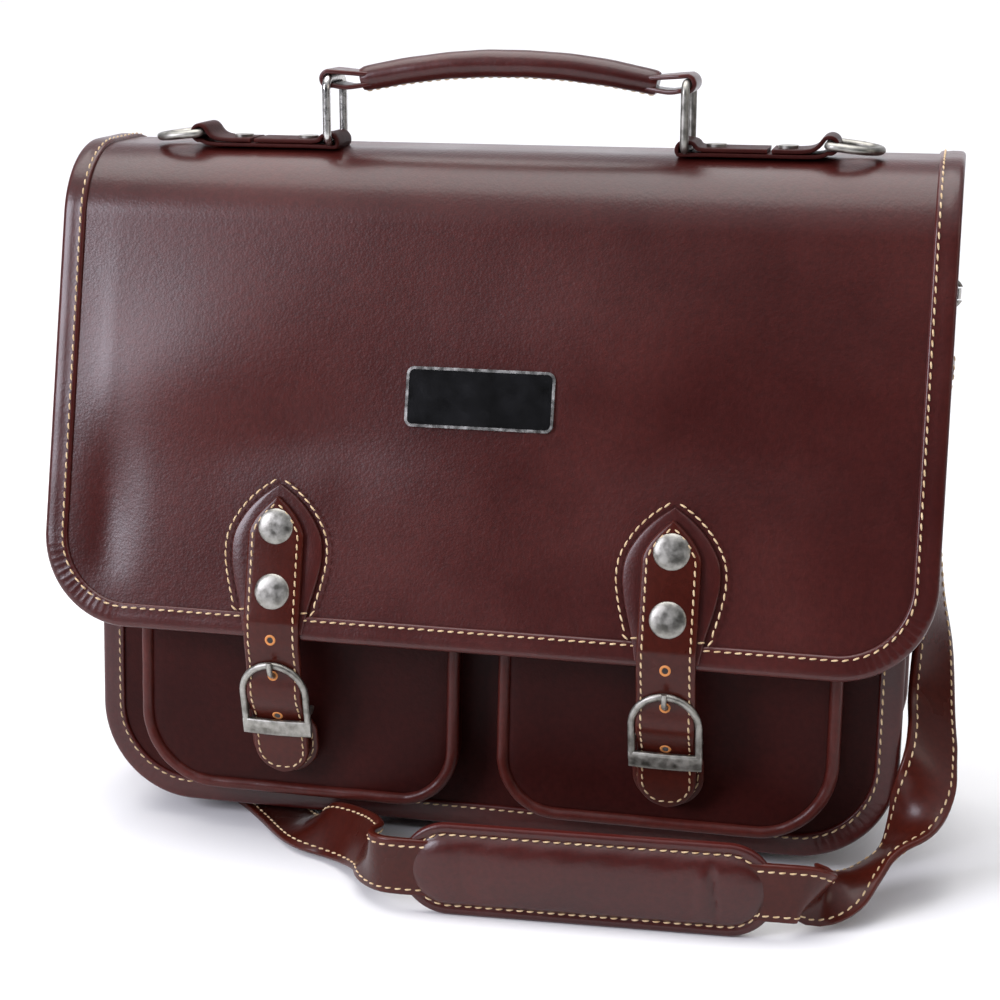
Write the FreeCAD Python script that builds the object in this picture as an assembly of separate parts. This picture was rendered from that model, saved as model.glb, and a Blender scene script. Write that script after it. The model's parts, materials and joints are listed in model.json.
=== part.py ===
import FreeCAD, Part
import math
import os

# A leather satchel. Millimetres, +Z up, the front faces -Y.
# Every piece is drawn from the bag's flat underside and then raised to stand on its feet,
# so the origin is the underside of the middle foot.

V = FreeCAD.Vector
GAP = 0.05  # air between pieces that only touch

# ---- Driving dimensions ----
LEATHER = 2.4  # panels
BINDING = 1.4  # folded edge strip, one layer
BINDING_WIDTH = 10.5
PANEL_HALF_WIDTH = 179.0
PANEL_CORNER = 43.5
BODY_HEIGHT = 256.0
FRONT_FOOT = 0.5  # how far the front panel's seam stands off the underside
FRONT_FOOT_Y = -53.0  # front panel's outer face at the floor
BODY_TILT = 5.26  # degrees that the front panel leans back
BACK_Y = 50.0
BACK_TOP = 268.0
GUSSET_HALF_WIDTH = 177.5
GUSSET_CORNER = 43.0
GUSSET_TOP = 264.0
GUSSET_WALL = 2.2
LINING_WALL = 0.8
LINING_DROP = 4.0  # below the gusset's top edge

FLAP_HALF_WIDTH = 192.5
FLAP_SHELL = 3.2  # leather and its lining
FLAP_TILT = 15.2  # degrees that the flap's front leans back
FLAP_EDGE_Y = -84.3  # outer face at the flap's lower edge
FLAP_EDGE_Z = 93.15
FLAP_CORNER = 40.0
CREST_Z = 294.3
FRONT_ROLL = 38.0
REAR_ROLL = 26.0
BEND_Z = 262.0  # where the flap's front starts to fold

POCKET_DEPTH = 15.95  # from the front panel to the piping's front
POCKET_INNER_X = 8.6
POCKET_OUTER_X = 155.8
POCKET_FOOT = 11.85
POCKET_TOP = 168.0
PIPING_R = 2.75
POCKET_WALL = 1.8

STRAP_X = 85.0
STRAP_HALF = 12.5
STRAP_THICK = 2.5
RIVET_HEIGHTS = (48.1, 20.2)  # up the flap's face from its lower edge
RIVET_R = 7.8
PATCH_THICK = 2.0
CLOSURE_TILT = -11.0  # degrees: the loose strap leans in towards the pocket

RING_X = 77.7  # handle rings
RING_LOW_Z = 297.0
RING_HIGH_Z = 324.1
RING_WIRE = 1.9
RING_HALF_SPAN = 12.1  # between the centres of its side wires
HANDLE_Y = -3.0
GRIP_END_X = 64.6
GRIP_END_Z = 323.5
GRIP_RISE = 7.5
GRIP_R = 5.75
SLEEVE_WALL = 1.5
CORE_STEP = 1.5  # from the grip's end to the flat ends of its core
CHAPE_HALF = 9.9
CHAPE_THICK = 2.6
DEE_X = 137.5
DEE_Z = 300.0
DEE_REACH = 22.5
DEE_DROP = 6.5  # degrees below level at rest

SIDE_LOOP_X = 185.0
SIDE_LOOP_Z = 256.0
SIDE_RING_R = 15.0
SIDE_RING_WIRE = 1.6
SIDE_RING_TILT = 11.0
HOOK_X = 187.9
HOOK_R = 5.8
HOOK_WIRE = 1.4
HOOK_MOUTH = 3.0
HOOK_DROP = 2.4  # from the ring's foot to the middle of the hook's loop
GATE_R = 1.1
EYE_Z = 209.0
SHOULDER_WIDTH = 25.4
SHOULDER_THICK = 3.0
SHOULDER_X = 189.4
STRAP_DRUM_R = 5.0  # where the strap turns round the hook's eye
PAD_START = (-18.0, -123.5)
PAD_END = (136.0, -115.0)
PAD_LEAD = 9.5  # straight strap beyond each end of the pad
PAD_HEIGHT = 40.0
PAD_THICK = 4.6
FOOT_HEIGHT = 7.5  # the bag stands on studs, and the strap passes under it
FLOOR_Z = -FOOT_HEIGHT
FLAT = FLOOR_Z + SHOULDER_THICK / 2
FEET = ((0.0, 0.0), (-70.0, -28.0), (70.0, -28.0), (-105.0, 28.0), (105.0, 28.0))
FOOT_R = 6.5
FOOT_FLAT = 0.4
FOOT_TIP_R = 2.4
FOOT_BALL_R = 14.0  # the curve of its dome
FOOT_HEAD_R = 4.0
SHANK_R = 1.6  # rivets and studs
BOARD_FOOT = 3.2
BOARD_TOP = 5.4

# The closure's loose end is drawn in its own frame: the origin is the fold at the flap's
# lower edge, on the strap's outer face, and the strap runs down -Z.
FOLD_OUT = PATCH_THICK + STRAP_THICK + 4 * GAP
FOLD_UP = 1.35
FOLD_BACK = 0.15
LOOSE_THICK = 2.2  # the strap below the fold
BAR_Y = 5.4
BAR_Z = -38.0
BAR_R = 1.2
ARCH_Y = -1.5
ARCH_TOP = -12.5
ARCH_WIRE = 1.4
ARCH_HALF = 14.1
KEEPER_TOP = -41.0
KEEPER_HEIGHT = 7.5
STRAP_TIP = -69.0
TAB_TIP = -72.0
TAB_HALF = 15.0
PRONG_R = 1.1
SNAP_HEIGHT = 36.0  # up the pocket's face
SNAP_SHANK_R = 2.0
POCKET_CORNER_IN = 27.0
POCKET_CORNER_OUT = 35.0
POCKET_FACE_OUT = POCKET_DEPTH - 1.35
TAB_RIVET_Z = 228.0
CHAPE_RIVETS = (90.0, 120.0)

# ---- Helpers ----


def tilted(shape, tilt, y, z):
    """Leans a shape back by tilt degrees about the X axis and moves its origin to y, z."""
    moved = shape.copy()
    moved.rotate(V(0, 0, 0), V(1, 0, 0), -tilt)
    moved.translate(V(0, y, z))
    return moved


def on_front(shape):
    return tilted(shape, BODY_TILT, FRONT_FOOT_Y, 0)


def on_flap(shape):
    return tilted(shape, FLAP_TILT, FLAP_EDGE_Y, FLAP_EDGE_Z)


def box(x0, x1, y0, y1, z0, z1):
    return Part.makeBox(x1 - x0, y1 - y0, z1 - z0, V(x0, y0, z0))


def rod(radius, start, end):
    line = V(*end) - V(*start)
    return Part.makeCylinder(radius, line.Length, V(*start), line)


def mirrored(shape):
    return shape.mirror(V(0, 0, 0), V(1, 0, 0))


def both_sides(shape):
    return Part.makeCompound([shape, mirrored(shape)])


def plate(x0, x1, z0, z1, y0, y1, low_left=0.0, low_right=0.0, top_right=0.0, top_left=0.0):
    """A flat plate in the XZ plane with a radius at each corner, from y0 to y1."""
    corners = [
        (V(x0, y0, z0), V(0, 0, 1), V(1, 0, 0), low_left),
        (V(x1, y0, z0), V(-1, 0, 0), V(0, 0, 1), low_right),
        (V(x1, y0, z1), V(0, 0, -1), V(-1, 0, 0), top_right),
        (V(x0, y0, z1), V(1, 0, 0), V(0, 0, -1), top_left),
    ]
    edges = []
    for i, (corner, before, after, radius) in enumerate(corners):
        point, _, ahead, r_here = corners[i]
        following, back, _, r_next = corners[(i + 1) % 4]
        if radius > 0:
            centre = corner + before * radius + after * radius
            middle = centre + (corner - centre).normalize() * radius
            edges.append(Part.Arc(corner + before * radius, middle, corner + after * radius).toShape())
        start = point + ahead * r_here
        finish = following + back * r_next
        if (finish - start).Length > 1e-6:
            edges.append(Part.makeLine(start, finish))
    return Part.Face(Part.Wire(edges)).extrude(V(0, y1 - y0, 0))


def tray(half, foot, top, corner, y0, y1):
    """A symmetric plate with two rounded lower corners."""
    return plate(-half, half, foot, top, y0, y1, corner, corner)


def u_ring(half, foot, top, corner, wall, y0, y1):
    """A tray's rim: a U of even wall, open at the top."""
    hollow = tray(half - wall, foot + wall, top + 10, corner - wall, y0 - 1, y1 + 1)
    return tray(half, foot, top, corner, y0, y1).cut(hollow)


def u_binding(half, foot, top, corner, y0, y1):
    """A strip folded round the edge of a panel that lies between y0 and y1."""
    outer = u_ring(half, foot, top, corner, BINDING_WIDTH, y0 - BINDING, y1 + BINDING)
    panel = tray(half - BINDING, foot + BINDING, top + 1, corner - BINDING, y0 - GAP / 2, y1 + GAP / 2)
    return outer.cut(panel)


def tube_along(points, radius):
    """A round bar through points, with ball corners."""
    shape = None
    for start, end in zip(points, points[1:]):
        piece = rod(radius, start, end)
        shape = piece if shape is None else shape.fuse(piece)
    for point in points[1:-1]:
        shape = shape.fuse(Part.makeSphere(radius, V(*point)))
    return shape.removeSplitter()


def sleeve(outer, inner, start, end):
    """A tube from start to end."""
    return rod(outer, start, end).cut(rod(inner, start, end))


# ---- Main body ----


def stud_holes():
    return Part.makeCompound([rod(SHANK_R + GAP, (x, y, -1), (x, y, 20)) for x, y in FEET])


def front_panel():
    foot = FRONT_FOOT + BINDING + GAP
    return on_front(tray(PANEL_HALF_WIDTH, foot, BODY_HEIGHT, PANEL_CORNER - BINDING, 0, LEATHER))


def front_binding():
    half = PANEL_HALF_WIDTH + BINDING + GAP
    return on_front(u_binding(half, FRONT_FOOT, BODY_HEIGHT, PANEL_CORNER, 0, LEATHER))


def back_panel():
    return tray(PANEL_HALF_WIDTH, BINDING + GAP, BACK_TOP, PANEL_CORNER - BINDING, BACK_Y - LEATHER, BACK_Y)


def back_binding():
    half = PANEL_HALF_WIDTH + BINDING + GAP
    return u_binding(half, 0, BACK_TOP, PANEL_CORNER, BACK_Y - LEATHER, BACK_Y)


def between_panels(shape):
    """Trims a shape to the room behind the front panel's seam."""
    seam = LEATHER + BINDING + 2 * GAP
    keep = on_front(box(-300, 300, seam, 300, -60, 400))
    return shape.common(keep)


def gusset():
    back_end = BACK_Y - LEATHER - BINDING - 2 * GAP
    ring = u_ring(GUSSET_HALF_WIDTH, 0, GUSSET_TOP, GUSSET_CORNER, GUSSET_WALL, -70, back_end)
    tab_hole = rod(SHANK_R + GAP, (-300, 0, TAB_RIVET_Z), (300, 0, TAB_RIVET_Z))
    return between_panels(ring.cut(tab_hole).cut(stud_holes()))


def lining():
    inset = GUSSET_WALL + 0.1
    back_end = BACK_Y - LEATHER - BINDING - 0.6
    half = GUSSET_HALF_WIDTH - inset
    top = GUSSET_TOP - LINING_DROP
    ring = u_ring(half, inset, top, GUSSET_CORNER - inset, LINING_WALL, -70, back_end)
    return between_panels(ring.cut(stud_holes()))


def base_board():
    return between_panels(box(-128, 128, -42, 40, BOARD_FOOT, BOARD_TOP).cut(stud_holes()))


def base_feet():
    """Five domed studs: each goes through the gusset, lining and board to a flat head inside."""
    feet = []
    ball_r = FOOT_BALL_R
    drop = math.sqrt(ball_r**2 - FOOT_R**2)
    shoulder = FLOOR_Z + ball_r - drop
    for x, y in FEET:
        ball = Part.makeSphere(ball_r, V(x, y, FLOOR_Z + ball_r))
        dome = ball.common(rod(FOOT_R, (x, y, FLOOR_Z + FOOT_FLAT), (x, y, shoulder)))
        rim = rod(FOOT_R, (x, y, shoulder), (x, y, -GAP))
        shank = rod(SHANK_R, (x, y, -GAP - 0.1), (x, y, BOARD_TOP + GAP + 0.1))
        head = rod(FOOT_HEAD_R, (x, y, BOARD_TOP + GAP), (x, y, BOARD_TOP + 1.0))
        tip = rod(FOOT_TIP_R, (x, y, FLOOR_Z), (x, y, FLOOR_Z + FOOT_FLAT + 0.2))
        feet.append(dome.fuse([rim, shank, head, tip]).removeSplitter())
    return Part.makeCompound(feet)


def divider():
    return plate(-172, 172, 5.6, 236, 10, 13, 40, 40, 12, 12)


def side_tab():
    """A leather strip on the gusset whose end turns round the side ring's bar."""
    bore_r = SIDE_RING_WIRE + 0.1
    loop_outer = bore_r + CHAPE_THICK
    inner_x = GUSSET_HALF_WIDTH + GAP
    strip = box(inner_x, inner_x + CHAPE_THICK, -11, 11, 218, SIDE_LOOP_Z)
    bridge = box(inner_x, SIDE_LOOP_X, -11, 11, SIDE_LOOP_Z, SIDE_LOOP_Z + loop_outer)
    drum = rod(loop_outer, (SIDE_LOOP_X, -11, SIDE_LOOP_Z), (SIDE_LOOP_X, 11, SIDE_LOOP_Z))
    bore = rod(bore_r, (SIDE_LOOP_X, -12, SIDE_LOOP_Z), (SIDE_LOOP_X, 12, SIDE_LOOP_Z))
    hole = rod(SHANK_R + GAP, (inner_x - 1, 0, TAB_RIVET_Z), (inner_x + 9, 0, TAB_RIVET_Z))
    return strip.fuse([bridge, drum]).cut(bore).cut(hole)


def side_rivets():
    """On each side a rivet through the tab and the gusset, headed on both faces."""
    inside = GUSSET_HALF_WIDTH - GUSSET_WALL
    face = GUSSET_HALF_WIDTH + 2 * GAP + CHAPE_THICK
    shank = rod(SHANK_R, (inside - 0.1, 0, TAB_RIVET_Z), (face + 0.1, 0, TAB_RIVET_Z))
    head = rod(4.5, (face, 0, TAB_RIVET_Z), (face + 1.5, 0, TAB_RIVET_Z))
    return both_sides(shank.fuse(head))


def dee(radius, wire, straight):
    """A D of round wire: a bar along Y through the origin, two sides down and a half circle."""
    half = Part.makeTorus(radius, wire, V(0, 0, -straight), V(1, 0, 0))
    half = half.common(box(-50, 50, -50, 50, -straight - 100, -straight))
    pieces = [rod(wire, (0, -radius, 0), (0, radius, 0))]
    for side in (-1, 1):
        y = side * radius
        pieces.append(Part.makeSphere(wire, V(0, y, 0)))
        if straight > 0:
            pieces.append(rod(wire, (0, y, -straight), (0, y, 0)))
    return half.fuse(pieces)


def side_ring():
    ring = dee(SIDE_RING_R, SIDE_RING_WIRE, 0)
    ring.rotate(V(0, 0, 0), V(0, 1, 0), -SIDE_RING_TILT)
    ring.translate(V(SIDE_LOOP_X, 0, SIDE_LOOP_Z))
    return ring


# ---- Pockets (the right one, mirrored for the left) ----


def pocket_plate(inset, y0, y1, top=POCKET_TOP):
    """The pocket's outline, drawn in by inset."""
    return plate(
        POCKET_INNER_X + inset,
        POCKET_OUTER_X - inset,
        POCKET_FOOT + inset,
        top,
        y0,
        y1,
        POCKET_CORNER_IN - inset,
        POCKET_CORNER_OUT - inset,
    )


def snap_axis(radius, start, end):
    """A rod on the snap's axis, between two depths behind the pocket's face."""
    y = -POCKET_FACE_OUT
    return rod(radius, (STRAP_X, y + start, SNAP_HEIGHT), (STRAP_X, y + end, SNAP_HEIGHT))


def pocket_face():
    face = pocket_plate(2 * PIPING_R + GAP, -POCKET_FACE_OUT, -POCKET_FACE_OUT + POCKET_WALL)
    return on_front(face.cut(snap_axis(SNAP_SHANK_R + 0.1, -2, 4)))


def pocket_gusset():
    inset = PIPING_R - POCKET_WALL / 2
    front = -POCKET_DEPTH + 2 * PIPING_R + GAP
    outer = pocket_plate(inset, front, -GAP)
    hollow = pocket_plate(inset + POCKET_WALL, front - 1, 1, POCKET_TOP + 1)
    return on_front(outer.cut(hollow))


def pocket_piping():
    """A round cord in leather that runs down, across and up the pocket's edge."""
    left = POCKET_INNER_X + PIPING_R
    right = POCKET_OUTER_X - PIPING_R
    foot = POCKET_FOOT + PIPING_R
    y = -POCKET_DEPTH + PIPING_R
    r_in = POCKET_CORNER_IN - PIPING_R
    r_out = POCKET_CORNER_OUT - PIPING_R
    diagonal = math.sqrt(0.5)
    turn_in = V(left + r_in, y, foot + r_in)
    turn_out = V(right - r_out, y, foot + r_out)
    edges = [
        Part.makeLine(V(left, y, POCKET_TOP), V(left, y, foot + r_in)),
        Part.Arc(
            V(left, y, foot + r_in),
            turn_in + V(-r_in * diagonal, 0, -r_in * diagonal),
            V(left + r_in, y, foot),
        ).toShape(),
        Part.makeLine(V(left + r_in, y, foot), V(right - r_out, y, foot)),
        Part.Arc(
            V(right - r_out, y, foot),
            turn_out + V(r_out * diagonal, 0, -r_out * diagonal),
            V(right, y, foot + r_out),
        ).toShape(),
        Part.makeLine(V(right, y, foot + r_out), V(right, y, POCKET_TOP)),
    ]
    circle = Part.Wire(Part.Circle(V(left, y, POCKET_TOP), V(0, 0, 1), PIPING_R).toShape())
    return on_front(Part.Wire(edges).makePipeShell([circle], True, True))


def snap_sockets():
    """The magnetic half on each pocket: a disc with a riveted shank and a washer."""
    disc = snap_axis(7.5, -1.5, -GAP)
    shank = snap_axis(SNAP_SHANK_R, -GAP - 0.1, POCKET_WALL + 0.4)
    washer = snap_axis(5.0, POCKET_WALL + GAP, POCKET_WALL + 0.8)
    return both_sides(on_front(disc.fuse([shank, washer])))


# ---- Flap ----


def roll_centre_y():
    """The front roll touches both the flap's sloping face and the crest."""
    lean = math.radians(FLAP_TILT)
    normal = V(0, -math.cos(lean), math.sin(lean))
    on_face = normal.dot(V(0, FLAP_EDGE_Y, FLAP_EDGE_Z))
    centre_z = CREST_Z - FRONT_ROLL
    return (on_face - FRONT_ROLL - normal.z * centre_z) / normal.y


def flap_face(z, out=0.0):
    """The point of the flap's sloping face at height z, moved outwards."""
    lean = math.radians(FLAP_TILT)
    y = FLAP_EDGE_Y + (z - FLAP_EDGE_Z) * math.tan(lean)
    return V(0, y - out * math.cos(lean), z + out * math.sin(lean))


def top_profile(out):
    """The flap's outer line from the back seam over the crest to the front bend, moved outwards."""
    lean = math.radians(FLAP_TILT)
    rear = V(0, BACK_Y - REAR_ROLL, CREST_Z - REAR_ROLL)
    front = V(0, roll_centre_y(), CREST_Z - FRONT_ROLL)
    r_rear = REAR_ROLL + out
    r_front = FRONT_ROLL + out
    diagonal = math.sqrt(0.5)
    touch = front + V(0, -math.cos(lean), math.sin(lean)) * r_front
    half_turn = math.radians((90 + FLAP_TILT) / 2)
    middle = front + V(0, -math.sin(half_turn), math.cos(half_turn)) * r_front
    return [
        Part.Arc(
            rear + V(0, r_rear, 0), rear + V(0, diagonal, diagonal) * r_rear, rear + V(0, 0, r_rear)
        ).toShape(),
        Part.makeLine(rear + V(0, 0, r_rear), front + V(0, 0, r_front)),
        Part.Arc(front + V(0, 0, r_front), middle, touch).toShape(),
        Part.makeLine(touch, flap_face(BEND_Z + 0.15, out)),
    ]


def top_shell(inner, outer, x0, x1):
    """A slab that follows the flap's curved top between two offsets."""
    outside = top_profile(outer)
    inside = top_profile(inner)
    ends = [
        Part.makeLine(outside[0].Vertexes[0].Point, inside[0].Vertexes[0].Point),
        Part.makeLine(outside[-1].Vertexes[1].Point, inside[-1].Vertexes[1].Point),
    ]
    wire = Part.Wire(Part.__sortEdges__(outside + inside + ends))
    shell = Part.Face(wire).extrude(V(x1 - x0, 0, 0))
    shell.translate(V(x0, 0, 0))
    return shell


def flap_top_panel():
    half = FLAP_HALF_WIDTH - BINDING - GAP
    return top_shell(-FLAP_SHELL, 0, -half, half)


def flap_top_binding():
    reach = FLAP_HALF_WIDTH - BINDING_WIDTH
    outer = top_shell(-FLAP_SHELL - BINDING, BINDING, reach, FLAP_HALF_WIDTH)
    panel = top_shell(-FLAP_SHELL - GAP / 2, GAP / 2, reach - 1, FLAP_HALF_WIDTH - BINDING)
    return both_sides(outer.cut(panel))


def top_stiffener():
    """The board under the crest that spreads the handle's pull."""
    under = CREST_Z - FLAP_SHELL - GAP
    return box(-150, 150, roll_centre_y(), BACK_Y - REAR_ROLL, under - 2, under)


def flap_length():
    """The sloping face's length from the lower edge to the bend."""
    return (BEND_Z - 0.15 - FLAP_EDGE_Z) / math.cos(math.radians(FLAP_TILT))


def rivet_holes(radius):
    holes = []
    for side in (-1, 1):
        for height in RIVET_HEIGHTS:
            holes.append(rod(radius, (side * STRAP_X, -9, height), (side * STRAP_X, 9, height)))
    return holes


def flap_front_panel():
    half = FLAP_HALF_WIDTH - BINDING - GAP
    panel = tray(half, BINDING + GAP, flap_length(), FLAP_CORNER - BINDING, 0, FLAP_SHELL)
    return on_flap(panel.cut(Part.makeCompound(rivet_holes(2.1))))


def flap_front_binding():
    return on_flap(u_binding(FLAP_HALF_WIDTH, 0, flap_length(), FLAP_CORNER, 0, FLAP_SHELL))


def name_plate(inset, y0, y1):
    height = (195.9 - FLAP_EDGE_Z) / math.cos(math.radians(FLAP_TILT))
    corner = 3.5 - inset
    half_w = 32 - inset
    half_h = 12.75 - inset
    shape = plate(
        -half_w, half_w, height - half_h, height + half_h, y0, y1, corner, corner, corner, corner
    )
    return on_flap(shape)


def name_plate_frame():
    return name_plate(0, -1.6, -GAP).cut(name_plate(1.2, -3, -0.8))


def name_plate_face():
    return name_plate(1.25, -1.4, -0.8 - GAP)


# ---- Strap closures on the flap (the right one, mirrored for the left) ----


def ogive(half, shoulder, tip, foot, y0, y1, foot_half):
    """A strap end: sides up from the foot, then two bulging arcs that meet in a point."""
    rise = tip - shoulder
    bulge = V(rise, 0, half) * (0.14 * math.hypot(half, rise) / math.hypot(rise, half))
    right = V(half, y0, shoulder)
    left = V(-half, y0, shoulder)
    top = V(0, y0, tip)
    right_middle = (right + top) * 0.5 + bulge
    left_middle = (left + top) * 0.5 + V(-bulge.x, 0, bulge.z)
    edges = [
        Part.makeLine(V(-foot_half, y0, foot), V(foot_half, y0, foot)),
        Part.makeLine(V(foot_half, y0, foot), right),
        Part.Arc(right, right_middle, top).toShape(),
        Part.Arc(top, left_middle, left).toShape(),
        Part.makeLine(left, V(-foot_half, y0, foot)),
    ]
    return Part.Face(Part.Wire(edges)).extrude(V(0, y1 - y0, 0))


def strap_patch():
    """The teardrop of leather under the strap's upper end."""
    patch = ogive(20.3, 36, 66.2, BINDING_WIDTH + 2 * GAP, -PATCH_THICK - GAP, -GAP, 14.9)
    patch.translate(V(STRAP_X, 0, 0))
    return on_flap(patch.cut(Part.makeCompound(rivet_holes(2.1))))


def strap_upper():
    back = -PATCH_THICK - 2 * GAP
    strap = ogive(STRAP_HALF, 42, 61, 2.7, back - STRAP_THICK, back, STRAP_HALF)
    strap.translate(V(STRAP_X, 0, 0))
    return on_flap(strap.cut(Part.makeCompound(rivet_holes(2.1))))


def strap_rivets():
    """Two domed rivets through strap, patch and flap, each with a washer inside."""
    face = -PATCH_THICK - STRAP_THICK - 3 * GAP
    inside = FLAP_SHELL + GAP
    rivets = []
    for height in RIVET_HEIGHTS:
        rim = rod(RIVET_R, (STRAP_X, face - 0.8, height), (STRAP_X, face, height))
        ball_r = 18.0
        depth = math.sqrt(ball_r**2 - RIVET_R**2)
        ball = Part.makeSphere(ball_r, V(STRAP_X, face - 0.8 + depth, height))
        cap = ball.common(box(STRAP_X - 10, STRAP_X + 10, face - 6, face - 0.8, height - 10, height + 10))
        shank = rod(2.0, (STRAP_X, face - 0.1, height), (STRAP_X, inside + 0.1, height))
        washer = rod(5.5, (STRAP_X, inside, height), (STRAP_X, inside + 0.9, height))
        rivets.append(on_flap(rim.fuse([cap, shank, washer]).removeSplitter()))
    return Part.makeCompound(rivets)


def fold_point():
    lean = math.radians(FLAP_TILT)
    up = V(0, math.sin(lean), math.cos(lean))
    out = V(0, -math.cos(lean), math.sin(lean))
    return V(0, FLAP_EDGE_Y, FLAP_EDGE_Z) + up * FOLD_UP + out * FOLD_OUT


def on_closure(shape):
    fold = fold_point()
    moved = tilted(shape, CLOSURE_TILT, fold.y, fold.z)
    moved.translate(V(STRAP_X, 0, 0))
    return moved


def strap_lower():
    """The strap below the fold, with its row of prong holes and a round end."""
    end_r = STRAP_HALF - 0.6
    strap = plate(
        -STRAP_HALF, STRAP_HALF, STRAP_TIP, -FOLD_BACK, 0.1, 0.1 + LOOSE_THICK, end_r, end_r
    )
    slot = plate(-1.7, 1.7, -22.5, -15.5, -1, 4, 1.6, 1.6, 1.6, 1.6)
    holes = [rod(1.5, (0, -1, z), (0, 4, z)) for z in (-1.8, -34.5)]
    return on_closure(strap.cut(Part.makeCompound([slot] + holes)))


def closure_tab():
    """The tab that hangs from the buckle's bar: a loop round it, then a strip down."""
    loop_r = BAR_R + GAP + 1.3
    half = STRAP_HALF - 0.4
    end_r = TAB_HALF - 0.6
    strip = plate(-TAB_HALF, TAB_HALF, TAB_TIP, BAR_Z - 8, BAR_Y, BAR_Y + 2.4, end_r, end_r, 2, 2)
    neck = box(-half, half, BAR_Y, BAR_Y + loop_r, BAR_Z - 9, BAR_Z)
    loop = rod(loop_r, (-half, BAR_Y, BAR_Z), (half, BAR_Y, BAR_Z))
    bore = rod(BAR_R + GAP, (-half - 1, BAR_Y, BAR_Z), (half + 1, BAR_Y, BAR_Z))
    slot = box(-1.8, 1.8, 0, 12, BAR_Z - 4, BAR_Z + 5)
    return on_closure(strip.fuse([neck, loop]).cut(bore).cut(slot))


def buckle_frame():
    """An arched wire over the strap, a flat keeper across it and a bar behind it."""
    centre_z = ARCH_TOP - ARCH_WIRE - ARCH_HALF
    arch = Part.makeTorus(ARCH_HALF, ARCH_WIRE, V(0, ARCH_Y, centre_z), V(0, 1, 0))
    arch = arch.common(box(-30, 30, -30, 30, centre_z, 30))
    parts = []
    for side in (-1, 1):
        x = side * ARCH_HALF
        parts.append(rod(ARCH_WIRE, (x, ARCH_Y, KEEPER_TOP - 3), (x, ARCH_Y, centre_z)))
        parts.append(rod(BAR_R, (x, ARCH_Y, BAR_Z), (x, BAR_Y, BAR_Z)))
        parts.append(Part.makeSphere(BAR_R, V(x, BAR_Y, BAR_Z)))
    parts.append(rod(BAR_R, (-ARCH_HALF, BAR_Y, BAR_Z), (ARCH_HALF, BAR_Y, BAR_Z)))
    keeper_half = ARCH_HALF + 1.2
    keeper = plate(
        -keeper_half, keeper_half, KEEPER_TOP - KEEPER_HEIGHT, KEEPER_TOP, -2.6, -0.2, 1, 1, 1, 1
    )
    return on_closure(arch.fuse(parts + [keeper]).removeSplitter())


def prong():
    """A pin that turns on the bar, passes through the strap and rests on the arch."""
    over = ARCH_Y - ARCH_WIRE - PRONG_R - 0.1
    behind = 4.1
    end = (0, over, -11.8)
    path = [(0, behind, BAR_Z + 1.9), (0, behind, -21.5), (0, over, -16.2), end]
    pin = tube_along(path, PRONG_R)
    tip = Part.makeSphere(PRONG_R, V(*end))
    eye = sleeve(2.4, BAR_R + GAP, (-1.5, BAR_Y, BAR_Z), (1.5, BAR_Y, BAR_Z))
    clear = rod(BAR_R + GAP, (-3, BAR_Y, BAR_Z), (3, BAR_Y, BAR_Z))
    return on_closure(pin.fuse([tip, eye]).cut(clear))


def snap_stud():
    """The magnetic half behind the tab: it stands square to the pocket and meets its socket."""
    stud = on_front(snap_axis(6.5, -13.6, -1.6))
    behind_tab = on_closure(box(-30, 30, BAR_Y + 2.4 + GAP, 60, -90, 0))
    return stud.common(behind_tab)


# ---- Handle and top hardware ----


def ring_bars(x):
    y0 = HANDLE_Y - RING_HALF_SPAN
    y1 = HANDLE_Y + RING_HALF_SPAN
    corners = [(x, y0, RING_LOW_Z), (x, y1, RING_LOW_Z), (x, y1, RING_HIGH_Z), (x, y0, RING_HIGH_Z)]
    return corners + corners[:2]


def handle_ring():
    """A rectangular ring of wire that stands up through the chape's loop."""
    return tube_along(ring_bars(RING_X), RING_WIRE)


def chape():
    """A strip along the crest with a loop at each end, for the handle ring and the D ring."""
    y0 = HANDLE_Y - CHAPE_HALF
    y1 = HANDLE_Y + CHAPE_HALF
    foot = CREST_Z + GAP
    bore = RING_WIRE + 0.1
    shape = box(RING_X, DEE_X, y0, y1, foot, foot + 3.6)
    loops = []
    bores = []
    for x, z in ((RING_X, RING_LOW_Z), (DEE_X, DEE_Z)):
        outer = bore + 1.9
        loops.append(rod(outer, (x, y0, z), (x, y1, z)))
        bores.append(rod(bore, (x, y0 - 1, z), (x, y1 + 1, z)))
    riser = box(DEE_X - 9, DEE_X, y0, y1, foot, DEE_Z)
    shape = shape.fuse(loops + [riser]).common(box(0, 300, -50, 50, foot, 400))
    holes = [rod(1.6 + GAP, (x, HANDLE_Y, foot - 1), (x, HANDLE_Y, foot + 9)) for x in CHAPE_RIVETS]
    return shape.cut(Part.makeCompound(bores + holes))


def chape_rivets():
    foot = CREST_Z + GAP + 3.6
    rivets = []
    for x in CHAPE_RIVETS:
        head = rod(4.2, (x, HANDLE_Y, foot + GAP), (x, HANDLE_Y, foot + 1.2))
        shank = rod(1.6, (x, HANDLE_Y, CREST_Z + 0.1), (x, HANDLE_Y, foot + 0.1))
        rivet = head.fuse(shank).removeSplitter()
        rivets += [rivet, mirrored(rivet)]
    return Part.makeCompound(rivets)


def dee_ring():
    """The empty D ring beside the handle, lying outwards just clear of the crest."""
    ring = dee(RING_HALF_SPAN, RING_WIRE, DEE_REACH - RING_WIRE - RING_HALF_SPAN)
    ring.rotate(V(0, 0, 0), V(0, 1, 0), -90 + DEE_DROP)
    ring.translate(V(DEE_X, HANDLE_Y, DEE_Z))
    return ring


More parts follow.
